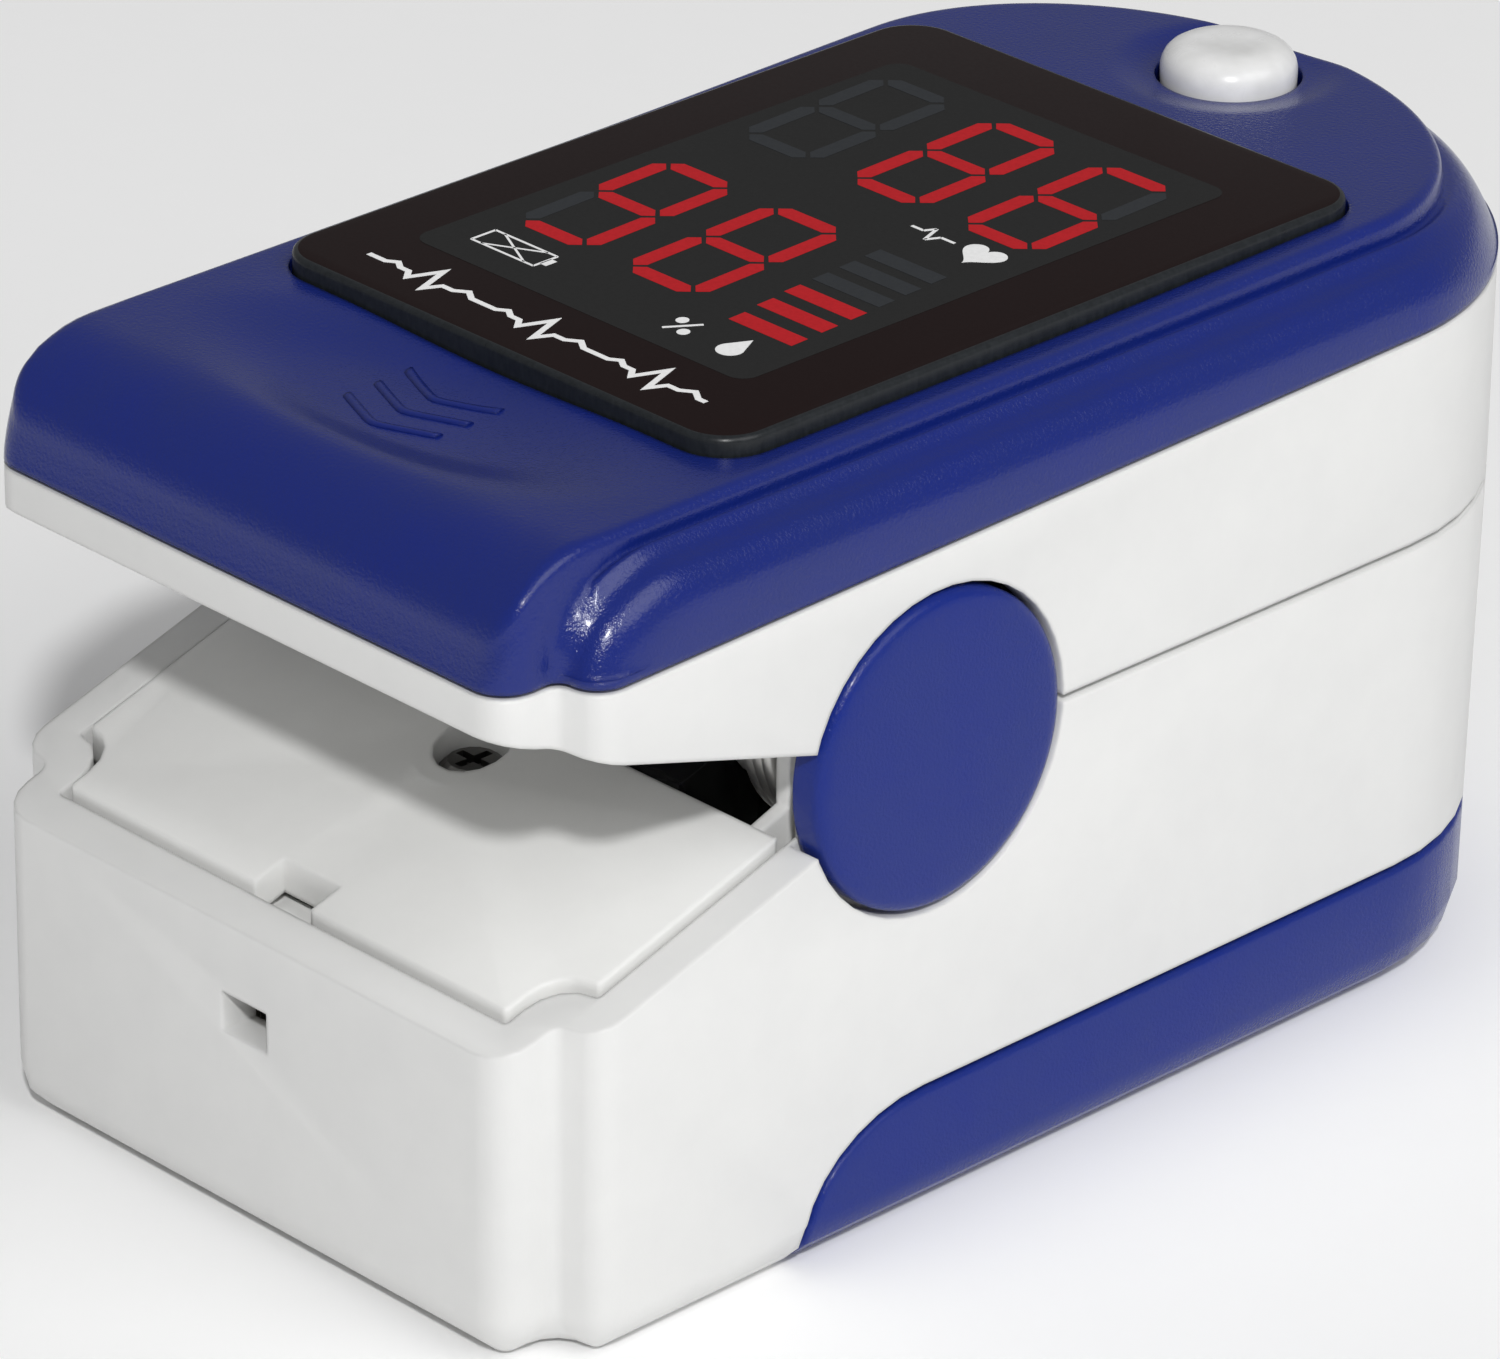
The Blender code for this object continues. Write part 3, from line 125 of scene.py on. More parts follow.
def spunPiece(name, profile, centre, axis, steps=64):
    # profile is (radius, distance along the axis), extruded point by point and spun round the axis
    along = {"X": Vector((1, 0, 0)), "Y": Vector((0, 1, 0)), "Z": Vector((0, 0, 1))}[axis]
    outward = {"X": Vector((0, 0, 1)), "Y": Vector((0, 0, 1)), "Z": Vector((1, 0, 0))}[axis]
    centre = Vector(centre) * mm
    places = [centre + (outward * radius + along * distance) * mm for radius, distance in profile]
    clearSelection()
    bpy.ops.mesh.primitive_plane_add(size=mm, location=places[0])
    piece = bpy.context.active_object
    piece.name = name
    bpy.ops.object.transform_apply(location=True, rotation=True, scale=True)
    selectParts(piece, "verts", lambda v: v.index > 0)
    bpy.ops.mesh.delete(type="VERT")
    bpy.ops.mesh.select_all(action="SELECT")
    start = bmesh.from_edit_mesh(piece.data).verts
    start.ensure_lookup_table()
    start[0].co = places[0]
    for before, after in zip(places, places[1:]):
        bpy.ops.mesh.extrude_vertices_move(TRANSFORM_OT_translate={"value": after - before})
    bpy.ops.mesh.select_all(action="SELECT")
    bpy.ops.mesh.spin(steps=steps, angle=2 * math.pi, center=centre, axis=along)
    bpy.ops.mesh.select_all(action="SELECT")
    bpy.ops.mesh.remove_doubles(threshold=1e-6)
    bpy.ops.mesh.normals_make_consistent(inside=False)
    leaveEdit()
    return piece


def ringPiece(name, rings):
    # matching loops of points, joined in order, with both ends filled
    count = len(rings[0])
    points = [Vector(p) * mm for ring in rings for p in ring]
    faces = []
    for level in range(len(rings) - 1):
        a, b = level * count, (level + 1) * count
        faces += [(a + i, a + (i + 1) % count, b + (i + 1) % count, b + i) for i in range(count)]
    faces.append(tuple(reversed(range(count))))
    faces.append(tuple(range((len(rings) - 1) * count, len(rings) * count)))
    data = bpy.data.meshes.new(name)
    data.from_pydata(points, [], faces)
    piece = bpy.data.objects.new(name, data)
    bpy.context.scene.collection.objects.link(piece)
    editPiece(piece)
    bpy.ops.mesh.select_all(action="SELECT")
    bpy.ops.mesh.normals_make_consistent(inside=False)
    leaveEdit()
    return piece


def nodeCopy(node, name):
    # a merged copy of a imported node, ready to be refined
    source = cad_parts[node]
    piece = bpy.data.objects.new(name, source.data.copy())
    bpy.context.scene.collection.objects.link(piece)
    piece.data.materials.clear()
    editPiece(piece, "VERT")
    bpy.ops.mesh.select_all(action="SELECT")
    bpy.ops.mesh.remove_doubles(threshold=2e-6)
    bpy.ops.mesh.dissolve_limited(angle_limit=math.radians(0.5))
    leaveEdit()
    return piece


def softenEdges(piece, width, segments=3, angle=32):
    # rounds the sharp edges of a refined copy
    applyModifier(piece, "BEVEL", width=width * mm, segments=segments, limit_method="ANGLE",
                  angle_limit=math.radians(angle), use_clamp_overlap=True, loop_slide=False)


def joinPieces(first, others):
    clearSelection()
    for piece in others:
        piece.select_set(True)
    first.select_set(True)
    bpy.context.view_layer.objects.active = first
    bpy.ops.object.join()
    return first


def finishPiece(piece, material, body, nodes, smoothAngle):
    # body is None for a piece left on no body, and an angle of 0 keeps a flat print unsmoothed
    pick(piece)
    if smoothAngle:
        bpy.ops.object.shade_smooth_by_angle(angle=math.radians(smoothAngle))
    piece.data.materials.clear()
    piece.data.materials.append(material)
    if body:
        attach(piece, body)
    if nodes:
        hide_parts(*nodes)


def arcPoints(x, y, radiusX, radiusY, start, end, steps):
    turns = [math.radians(start + (end - start) * i / steps) for i in range(steps + 1)]
    return [(x + radiusX * math.cos(t), y + radiusY * math.sin(t)) for t in turns]


def straight(start, end, steps):
    return [(start[0] + (end[0] - start[0]) * i / steps, start[1] + (end[1] - start[1]) * i / steps)
            for i in range(1, steps)]


def mirroredPlan(half):
    return half + [(-x, y) for x, y in reversed(half) if abs(x) > 1e-6]


def ramp(stops, value):
    for (a, low), (b, high) in zip(stops, stops[1:]):
        if value <= b:
            return low + (high - low) * max(0.0, value - a) / (b - a)
    return stops[-1][1]


def easeBetween(low, high, value):
    share = min(1.0, max(0.0, (value - low) / (high - low)))
    return share * share * (3 - 2 * share)


class Signal:
    # a shader socket that takes part in ordinary arithmetic
    def __init__(self, tree, socket):
        self.tree = tree
        self.socket = socket

    def maths(self, operation, first, second=None):
        node = self.tree.nodes.new("ShaderNodeMath")
        node.operation = operation
        for port, value in zip(node.inputs, (first, second)):
            if isinstance(value, Signal):
                self.tree.links.new(value.socket, port)
            elif value is not None:
                port.default_value = value
        return Signal(self.tree, node.outputs[0])

    def __add__(self, other):
        return self.maths("ADD", self, other)

    def __radd__(self, other):
        return self.maths("ADD", other, self)

    def __sub__(self, other):
        return self.maths("SUBTRACT", self, other)

    def __rsub__(self, other):
        return self.maths("SUBTRACT", other, self)

    def __mul__(self, other):
        return self.maths("MULTIPLY", self, other)

    def __rmul__(self, other):
        return self.maths("MULTIPLY", other, self)

    def sine(self):
        return self.maths("SINE", self)

    def clamped(self):
        return self.maths("MINIMUM", self.maths("MAXIMUM", self, 0.0), 1.0)


class Finish:
    # one material: node() adds any node, its settings first and then its sockets
    def __init__(self, name):
        self.material = bpy.data.materials.new(name)
        self.material.use_nodes = True
        self.tree = self.material.node_tree
        self.tree.nodes.clear()

    def node(self, kind, settings=None, sockets=None, output=0):
        made = self.tree.nodes.new("ShaderNode" + kind)
        for key, value in (settings or {}).items():
            setattr(made, key, value)
        for key, value in (sockets or {}).items():
            port = made.inputs[key]
            if isinstance(value, Signal):
                self.tree.links.new(value.socket, port)
            else:
                port.default_value = value
        return Signal(self.tree, made.outputs[output]) if made.outputs else None

    def place(self, scale=(1.0, 1.0, 1.0), turn=(0.0, 0.0, 0.0)):
        spot = self.node("TexCoord", output="Object")
        return self.node("Mapping", sockets={"Vector": spot, "Scale": scale, "Rotation": turn})

    def measured(self, axis):
        # metres from the middle of the object along one axis
        spot = self.node("TexCoord", output="Object")
        return self.node("SeparateXYZ", sockets={"Vector": spot}, output=axis)

    def noise(self, scale, detail=2.0, rough=0.5, vector=None):
        sockets = {"Vector": vector or self.place(), "Scale": scale, "Detail": detail, "Roughness": rough}
        return self.node("TexNoise", sockets=sockets)

    def blend(self, share, first, second):
        # colours go through Mix; share is a Signal
        sockets = {0: share, 6: first if isinstance(first, Signal) else (*first, 1.0),
                   7: second if isinstance(second, Signal) else (*second, 1.0)}
        return self.node("Mix", {"data_type": "RGBA"}, sockets, output=2)

    def levels(self, value, low, high):
        # 0 below low, 1 above high
        return self.node("MapRange", {"clamp": True}, {"Value": value, "From Min": low, "From Max": high})

    def bump(self, height, strength, distance, under=None):
        sockets = {"Height": height, "Strength": strength, "Distance": distance}
        if under:
            sockets["Normal"] = under
        return self.node("Bump", sockets=sockets)

    def roundedNormal(self, radius):
        return self.node("Bevel", {"samples": 6}, {"Radius": radius})

    def edgeSheenMask(self, rounded):
        # near 1 on outside and inside edges, 0 on flat faces; it masks the painted highlight along the edges
        plain = self.node("NewGeometry", output="Normal")
        facing = self.node("VectorMath", {"operation": "DOT_PRODUCT"}, {0: rounded, 1: plain}, output="Value")
        return (1.0 - facing) * 6.0

    def surface(self, **sockets):
        names = {"colour": "Base Color", "roughness": "Roughness", "metallic": "Metallic", "normal": "Normal",
                 "coat": "Coat Weight", "coatRoughness": "Coat Roughness", "gloss": "Specular IOR Level",
                 "glow": "Emission Color", "glowStrength": "Emission Strength"}
        values = {}
        for key, value in sockets.items():
            isColour = key in ("colour", "glow") and not isinstance(value, Signal)
            values[names[key]] = (*value, 1.0) if isColour else value
        shader = self.node("BsdfPrincipled", sockets=values)
        self.node("OutputMaterial", sockets={"Surface": shader})
        return self.material


def mouldedPlastic(name, look):
    # satin injection-moulded plastic: faint mottling, spark-eroded grain, a painted highlight that lightens
    # the edges, a few scuffs
    made = Finish(name)
    mottle = made.noise(look["mottleScale"], 3.0, 0.55)
    grain = made.noise(look["grainScale"], 2.0, 0.6)
    scuffs = made.noise(260.0, 4.0, 0.7, made.place((1.0, 7.0, 1.0), (0.0, 0.0, 0.5)))
    scuffMask = made.levels(scuffs, 0.66, 0.74)
    rounded = made.roundedNormal(look["edgeRoundRadius"] * mm)
    edgeSheen = made.edgeSheenMask(rounded).clamped()
    tone = made.blend(made.levels(mottle, 0.3, 0.7), look["colour"], look["mottleColour"])
    # the edges are painted a lighter colour as a highlight
    tone = made.blend(edgeSheen * look["paintedSheenAmount"], tone, look["paintedSheenColour"])
    roughness = look["roughness"] + (mottle - 0.5) * look["roughnessSpread"] + scuffMask * 0.06 - edgeSheen * 0.05
    normal = made.bump(grain, look["grainStrength"], look["grainDepth"] * mm, rounded)
    return made.surface(colour=tone, roughness=roughness, normal=normal, gloss=look["gloss"],
                        coat=look.get("coat", 0.0), coatRoughness=look.get("coatRoughness", 0.03))


# in these looks the lighter edge colour and its amount paint a highlight along the edges
whiteLook = {"colour": (0.71, 0.71, 0.70), "mottleColour": (0.69, 0.69, 0.682),
             "paintedSheenColour": (0.76, 0.76, 0.75), "mottleScale": 420.0, "grainScale": 9000.0,
             "grainStrength": 0.12, "grainDepth": 0.02, "roughness": 0.42, "roughnessSpread": 0.12,
             "gloss": 0.45, "edgeRoundRadius": 0.25, "paintedSheenAmount": 0.35}
blueLook = {"colour": (0.0052, 0.0155, 0.166), "mottleColour": (0.0065, 0.017, 0.152),
            "paintedSheenColour": (0.016, 0.03, 0.22), "mottleScale": 300.0, "grainScale": 7500.0,
            "grainStrength": 0.55, "grainDepth": 0.05, "roughness": 0.2, "roughnessSpread": 0.07,
            "gloss": 0.3, "coat": 0.22, "coatRoughness": 0.13, "edgeRoundRadius": 0.3, "paintedSheenAmount": 0.25}
whitePlastic = mouldedPlastic("whitePlastic", whiteLook)
bluePlastic = mouldedPlastic("bluePlastic", blueLook)
capPlastic = mouldedPlastic("capPlastic",
                            {**blueLook, "gloss": 0.2, "coat": 0.1, "colour": (0.006, 0.019, 0.188),
                             "mottleColour": (0.0085, 0.022, 0.178)})
# the plate's copy of the white plastic is painted lighter to stand in for the key light that the upper jaw
# keeps off it
brightenedPlatePlastic = mouldedPlastic("brightenedPlatePlastic", {**whiteLook, "colour": (0.79, 0.79, 0.775),
                                               "mottleColour": (0.77, 0.77, 0.755)})
buttonPlastic = mouldedPlastic("buttonPlastic", {**whiteLook, "colour": (0.86, 0.86, 0.86), "roughness": 0.28,
                                                 "grainStrength": 0.05, "gloss": 0.5})


def siliconeFinish():
    made = Finish("blackSilicone")
    dust = made.noise(2600.0, 4.0, 0.7)
    smears = made.noise(240.0, 3.0, 0.6, made.place((1.0, 3.0, 1.0)))
    tone = made.blend(made.levels(dust, 0.62, 0.8) * 0.35, (0.010, 0.010, 0.011), (0.05, 0.05, 0.05))
    roughness = 0.24 + made.levels(smears, 0.35, 0.7) * 0.16
    ribs = made.node("TexWave", {"bands_direction": "Y"},
                     {"Vector": made.place(), "Scale": 210.0, "Distortion": 0.0})
    normal = made.bump(ribs, 0.3, 0.12 * mm, made.bump(made.noise(1500.0, 2.0), 0.1, 0.03 * mm))
    return made.surface(colour=tone, roughness=roughness, normal=normal, gloss=0.5)


def metalFinish(name, colour, roughness, stretch=(1.0, 1.0, 1.0), tarnish=0.12):
    # drawn or rolled metal: fine lines along one direction and a little tarnish
    made = Finish(name)
    lines = made.noise(2500.0, 2.0, 0.5, made.place(stretch))
    stain = made.levels(made.noise(900.0, 3.0, 0.6), 0.45, 0.75)
    tone = made.blend(stain * tarnish, colour, tuple(c * 0.55 for c in colour))
    rough = roughness + (lines - 0.5) * 0.15 + stain * 0.08
    return made.surface(colour=tone, roughness=rough, metallic=1.0, normal=made.bump(lines, 0.12, 0.01 * mm))


def printFinish(name, colour, gloss=0.03, roughness=0.3, glow=None):
    # ink behind the clear lens: even, with a very faint dither
    made = Finish(name)
    dither = made.noise(6000.0, 1.0)
    tone = made.blend(made.levels(dither, 0.3, 0.7), colour, tuple(c * 0.93 for c in colour))
    sockets = {"colour": tone, "roughness": roughness + (dither - 0.5) * 0.06, "gloss": gloss}
    if glow:
        sockets["glow"] = made.blend(made.levels(dither, 0.3, 0.7), glow, tuple(c * 0.9 for c in glow))
        sockets["glowStrength"] = 1.0
    return made.surface(**sockets)


def lensSideFinish():
    # cut edge of the lens: dark, with fine upright machining marks
    made = Finish("lensSide")
    marks = made.noise(5200.0, 2.0, 0.6, made.place((1.0, 1.0, 0.4)))
    tone = made.blend(made.levels(marks, 0.3, 0.8), (0.010, 0.012, 0.014), (0.018, 0.021, 0.024))
    return made.surface(colour=tone, roughness=0.3 + (marks - 0.5) * 0.1, gloss=0.3,
                        normal=made.bump(marks, 0.12, 0.01 * mm, made.roundedNormal(0.12 * mm)))


def boardFinish():
    made = Finish("solderMask")
    traces = made.node("TexBrick", {"offset": 0.5},
                       {"Vector": made.place(), "Scale": 700.0, "Mortar Size": 0.06}, output="Fac")
    cloth = made.noise(3000.0, 2.0)
    tone = made.blend(made.levels(traces, 0.4, 0.6), (0.008, 0.10, 0.035), (0.02, 0.19, 0.07))
    return made.surface(colour=tone, roughness=0.35 + (cloth - 0.5) * 0.15,
                        normal=made.bump(traces, 0.2, 0.02 * mm))


def windowFinish():
    made = Finish("redWindow")
    haze = made.noise(700.0, 2.0)
    tone = made.blend(made.levels(haze, 0.3, 0.7), (0.09, 0.006, 0.006), (0.12, 0.01, 0.01))
    return made.surface(colour=tone, roughness=0.06 + haze * 0.05, gloss=0.6)


def jacketFinish():
    # shrink sleeve of a cell: a dark barrel with a copper-coloured band at one end
    made = Finish("cellJacket")
    band = made.levels(made.measured("Y"), 8.5 * mm, 8.6 * mm)
    creases = made.noise(420.0, 3.0, 0.6, made.place((1.0, 0.3, 1.0)))
    tone = made.blend(band, (0.015, 0.02, 0.03), (0.55, 0.24, 0.07))
    return made.surface(colour=tone, roughness=0.25 + creases * 0.1, metallic=band * 0.6, gloss=0.5,
                        normal=made.bump(creases, 0.15, 0.05 * mm))


def ribbonFinish():
    made = Finish("ribbonCable")
    corePitch = 0.6 * mm
    stripes = made.levels((made.measured("X") * (2 * math.pi / corePitch)).sine(), 0.1, 0.3)
    tone = made.blend(stripes, (0.02, 0.016, 0.012), (0.075, 0.045, 0.02))
    return made.surface(colour=tone, roughness=0.35 + stripes * 0.1,
                        normal=made.bump(stripes, 0.3, 0.02 * mm))


def chipFinish():
    made = Finish("mouldedEpoxy")
    grit = made.noise(9000.0, 2.0)
    tone = made.blend(grit, (0.012, 0.012, 0.012), (0.03, 0.03, 0.03))
    return made.surface(colour=tone, roughness=0.5 + (grit - 0.5) * 0.2,
                        normal=made.bump(grit, 0.2, 0.01 * mm))


blackSilicone = siliconeFinish()
springSteel = metalFinish("springSteel", (0.9, 0.89, 0.87), 0.36, (1.0, 0.2, 0.2))
screwSteel = metalFinish("screwSteel", (0.16, 0.155, 0.15), 0.38)
nickelPlate = metalFinish("nickelPlate", (0.66, 0.63, 0.57), 0.24, (4.0, 1.0, 0.3), 0.25)
lensPrint = printFinish("lensPrint", (0.0150, 0.0088, 0.0088))
panelPrint = printFinish("panelPrint", (0.0215, 0.0215, 0.0215))
ghostPrint = printFinish("ghostPrint", (0.034, 0.037, 0.041))
iconPrint = printFinish("iconPrint", (0.9, 0.9, 0.9), roughness=0.4)
litPrint = printFinish("litPrint", (0.05, 0.002, 0.003), glow=(0.38, 0.0112, 0.0152))
lensSide = lensSideFinish()
solderMask = boardFinish()
redWindow = windowFinish()
cellJacket = jacketFinish()
ribbonCable = ribbonFinish()
mouldedEpoxy = chipFinish()
print("finishes made")

# the blue cover over the upper jaw
cover = {"halfWidth": 15.5, "sideCornerR": 1.3, "shoulderFrontY": -25.9, "noseHalfWidth": 13.6,
         "noseFrontY": -28.5, "noseCornerR": 1.5, "rearCentreY": 15.5, "rearDepth": 13.0,
         "seamZ": 26.56, "seamY": -25.8, "seamRise": 0.0223, "topZ": 31.0, "noseCentre": (-24.3, 26.5),
         "noseRadii": (4.2, 4.5), "wallLean": 0.36, "edgeR": 0.42, "shoulderFrontLength": 4.5,
         "shoulderFrontDrop": 4.0, "platformInset": 1.9, "scoopCentre": (0.0, -20.4),
         "scoopSize": (11.8, 5.0), "scoopDepth": 0.62, "dishInner": 2.9, "dishOuter": 4.7,
         "dishDepth": 0.3, "buttonX": -0.85, "buttonY": 22.5, "buttonHoleR": 2.84, "rearRise": 0.22,
         "notchR": 0.6, "shoulderBaseZ": 25.0, "platformBaseZ": 25.4}
# towards the rear the ridge melts into one soft slope
rearShoulder = {"topZ": 30.1, "drop": 2.4, "reach": 2.2, "curve": 2.4, "from": 14.0, "to": 24.0, "lift": 0.1,
                "liftFrom": 5.0}
# what is cut out of the cover: its hollow in three steps, the lens seat, the display well and two holes
coverCuts = {"belowZ": 20.0, "aboveZ": 40.0, "wall": 1.5, "wallTopZ": 27.6, "ledge": 3.4, "ledgeTopZ": 28.9,
             "ledgeFrontY": -22.5, "nose": ((-12.1, -27.0, 20.0), (12.1, -20.0, 27.5)), "noseCornerR": 0.9,
             "seat": ((-11.98, -16.68, 30.05), (11.98, 16.58, 40.0)), "seatCornerR": 2.1,
             "well": ((-10.9, -14.4, 20.0), (10.9, 14.6, 40.0)), "stemHoleR": 1.6, "stemHoleLowZ": 10.0,
             "buttonHoleLowZ": 29.3, "mouth": ((0.0, 30.95), (0.06, 31.08), (0.2, 31.2))}
# the corners of the cover where the ridges run softly into the notches beside the nose
notchBlend = {"x": (12.9, 14.95), "y": (-26.35, -22.8), "lowZ": 27.4, "factor": 0.5, "rounds": 4}
# shoulder height against the distance in from the side: side, rounding, slope, crest, groove
shoulderStops = ((0.0, 27.9), (0.03, 28.3), (0.07, 28.6), (0.15, 28.87), (0.25, 29.1), (0.37, 29.32),
                 (0.5, 29.5), (0.67, 29.67), (0.85, 29.79), (1.1, 29.88), (1.35, 29.98), (1.55, 30.16),
                 (1.67, 30.35), (1.74, 30.42), (1.8, 30.43), (1.87, 30.36), (2.0, 30.2), (2.2, 30.12),
                 (3.4, 30.1))


def coverSeam(y):
    return cover["seamZ"] + (y - cover["seamY"]) * cover["seamRise"]


def shoulderPlan(inset):
    # the cover's plan from the notches back, at its full width
    side = cover["halfWidth"] - inset
    corner = max(cover["sideCornerR"] - inset, 0.15)
    fillet = cover["notchR"] + inset
    notchX, notchY = cover["noseHalfWidth"] + cover["notchR"], cover["shoulderFrontY"] - cover["notchR"]
    cornerX = min(side - corner, notchX)
    turn = math.degrees(math.acos((cornerX - notchX) / fillet))
    cornerY = notchY + fillet * math.sin(math.radians(turn)) + corner
    half = [(x, notchY + 0.3 * inset) for x in (0.0, 4.0, 7.5, 9.5)]
    half += arcPoints(notchX, notchY, fillet, fillet, 180, turn, 8)
    half += arcPoints(cornerX, cornerY, corner, corner, -90, 0, 10)[1:]
    run = cover["rearCentreY"] - cornerY
    half += [(side, cornerY + run * (i / 72) ** 1.7) for i in range(1, 72)]  # closer together at the front
    half += arcPoints(0.0, cover["rearCentreY"], side, cover["rearDepth"] - inset, 0, 90, 56)
    return mirroredPlan(half)


def shoulderFrontEdge(x):
    corner = cover["sideCornerR"]
    centreX = cover["halfWidth"] - corner
    if x > centreX:
        return cover["shoulderFrontY"] + corner - math.sqrt(max(0.0, corner ** 2 - (x - centreX) ** 2))
    notch = cover["notchR"]
    return cover["shoulderFrontY"] - notch + math.sqrt(max(0.0, notch ** 2 - min(notch, centreX - x) ** 2))


def shoulderHeight(x, y, inset):
    if y < 0:
        inset = cover["halfWidth"] - abs(x)  # the ridges run straight forward and drop at the front
    height = ramp(shoulderStops, inset)
    rear = rearShoulder
    softened = rear["topZ"] - rear["drop"] * (1 - min(1.0, inset / rear["reach"])) ** rear["curve"]
    toRear = easeBetween(rear["from"], rear["to"], y)
    height = height * (1 - toRear) + softened * toRear
    height += rear["lift"] * easeBetween(rear["liftFrom"], rear["to"], y)
    behind = (y - shoulderFrontEdge(abs(x))) / cover["shoulderFrontLength"]
    if behind < 1:
        ahead = 1 - max(0.0, behind)
        height -= cover["shoulderFrontDrop"] * (1 - math.sqrt(max(0.0, 1 - ahead * ahead)))
    return max(height, coverSeam(y) + 0.3)


def platformPlan(inset):
    # the narrower raised top, whose front is the rounded nose
    side = cover["noseHalfWidth"] - inset
    front = cover["noseFrontY"] + inset + max(0.0, inset - 1.5) * 0.45
    corner = max(cover["noseCornerR"] - inset, 0.2)
    half = [(0.0, front)] + straight((0.0, front), (side - corner, front), 16)
    half += arcPoints(side - corner, front + corner, corner, corner, -90, 0, 12)
    half += straight((side, front + corner), (side, cover["rearCentreY"]), 72)
    rear = cover["rearDepth"] - cover["platformInset"] - inset
    half += arcPoints(0.0, cover["rearCentreY"], side, rear, 0, 90, 56)
    return mirroredPlan(half)


def platformTop(x, y):
    # height of the platform's top: nose, thumb scoop and button dish
    height = cover["topZ"] + cover["rearRise"] * easeBetween(-2.0, 20.0, y)
    noseY, noseZ = cover["noseCentre"]
    if y < noseY:
        share = min(1.0, (noseY - y) / cover["noseRadii"][0])
        height = min(height, noseZ + cover["noseRadii"][1] * math.sqrt(1 - share * share))
    scoopX, scoopY = cover["scoopCentre"]
    sizeX, sizeY = cover["scoopSize"]
    reach = math.hypot((x - scoopX) / sizeX, (y - scoopY) / sizeY)
    height -= cover["scoopDepth"] * (1 - easeBetween(0.35, 1.0, reach))
    dish = math.hypot(x - cover["buttonX"], y - cover["buttonY"])
    height -= cover["dishDepth"] * (1 - easeBetween(cover["dishInner"], cover["dishOuter"], dish))
    return height


def shoulderPiece():
    insets = [0.0, 0.02, 0.04, 0.08, 0.12, 0.18, 0.25, 0.33, 0.42, 0.52, 0.62, 0.74, 0.85, 0.98, 1.1,
              1.25, 1.4, 1.52, 1.62, 1.68, 1.72, 1.76, 1.8, 1.84, 1.88, 1.94, 2.0, 2.1, 2.2, 2.6, 3.4]
    base = cover["shoulderBaseZ"]
    rings = [[(x, y, base) for x, y in shoulderPlan(inset)] for inset in (insets[-1], 0.0)]
    for inset in insets:
        rings.append([(x, y, shoulderHeight(x, y, inset)) for x, y in shoulderPlan(inset)])
    return ringPiece("topCover", rings)


def platformPiece():
    # the wall leans in, the edge is rounded, then rings close in over the top
    lean, edge = cover["wallLean"], cover["edgeR"]
    outline = platformPlan(0.0)
    rings = [[(x, y, cover["platformBaseZ"]) for x, y in outline], [(x, y, coverSeam(y)) for x, y in outline]]
    for share in (0.25, 0.5, 0.7, 0.85, 1.0):
        ring = []
        for x, y in platformPlan(lean * share * share):
            top = platformTop(x, y) - edge
            low = coverSeam(y)
            ring.append((x, y, low + (max(top, low + 0.2) - low) * share))
        rings.append(ring)
    for step in range(1, 9):
        turn = math.radians(90 * step / 8)
        inset = lean + edge * (1 - math.cos(turn))
        rings.append([(x, y, max(platformTop(x, y) - edge * (1 - math.sin(turn)), coverSeam(y) + 0.2))
                      for x, y in platformPlan(inset)])
    for inset in [lean + edge + 0.25 * i for i in range(1, 40)]:
        rings.append([(x, y, platformTop(x, y)) for x, y in platformPlan(inset)])
    return ringPiece("platform", rings)


def trimAtSeam(piece):
    # everything under the sloping seam goes
    editPiece(piece)
    bpy.ops.mesh.select_all(action="SELECT")
    onSeam, upwards = (0, cover["seamY"] * mm, cover["seamZ"] * mm), (0, -cover["seamRise"], 1)
    bpy.ops.mesh.bisect(plane_co=onSeam, plane_no=upwards, use_fill=True, clear_inner=True, threshold=1e-7)
    bpy.ops.mesh.select_all(action="SELECT")
    bpy.ops.mesh.remove_doubles(threshold=1e-6)
    bpy.ops.mesh.normals_make_consistent(inside=False)
    leaveEdit()


def hollowCutter(inset, top, front):
    plan = [(x, max(y, front)) for x, y in shoulderPlan(inset)]
    return ringPiece("hollow", [[(x, y, z) for x, y in plan] for z in (coverCuts["belowZ"], top)])


def hollowCover(piece):
    nose = block("noseHollow", *coverCuts["nose"])
    bevelEdges(nose, coverCuts["noseCornerR"], 3, isUpright)
    wall = hollowCutter(coverCuts["wall"], coverCuts["wallTopZ"], cover["noseFrontY"])
    ledge = hollowCutter(coverCuts["ledge"], coverCuts["ledgeTopZ"], coverCuts["ledgeFrontY"])
    for cutter in (wall, ledge, nose):
        cutWith(piece, cutter)


def cutDisplaySeat(piece):
    seat = block("lensSeat", *coverCuts["seat"])
    bevelEdges(seat, coverCuts["seatCornerR"], 8, isUpright)
    cutWith(piece, seat)
    cutWith(piece, block("displayWell", *coverCuts["well"]))


def cutButtonHole(piece):
    # the mouth of the hole opens a little towards the top
    radius, above = cover["buttonHoleR"], coverCuts["aboveZ"]
    profile = [(0.0, coverCuts["buttonHoleLowZ"]), (radius, coverCuts["buttonHoleLowZ"])]
    profile += [(radius + flare, z) for flare, z in coverCuts["mouth"]]
    profile += [(radius + coverCuts["mouth"][-1][0], above), (0.0, above)]
    cutWith(piece, spunPiece("buttonHole", profile, (cover["buttonX"], cover["buttonY"], 0), "Z", 96))
    stem, low = coverCuts["stemHoleR"], coverCuts["stemHoleLowZ"]
    profile = [(0.0, low), (stem, low), (stem, above), (0.0, above)]
    cutWith(piece, spunPiece("stemHole", profile, (0, cover["buttonY"], 0), "Z", 32))


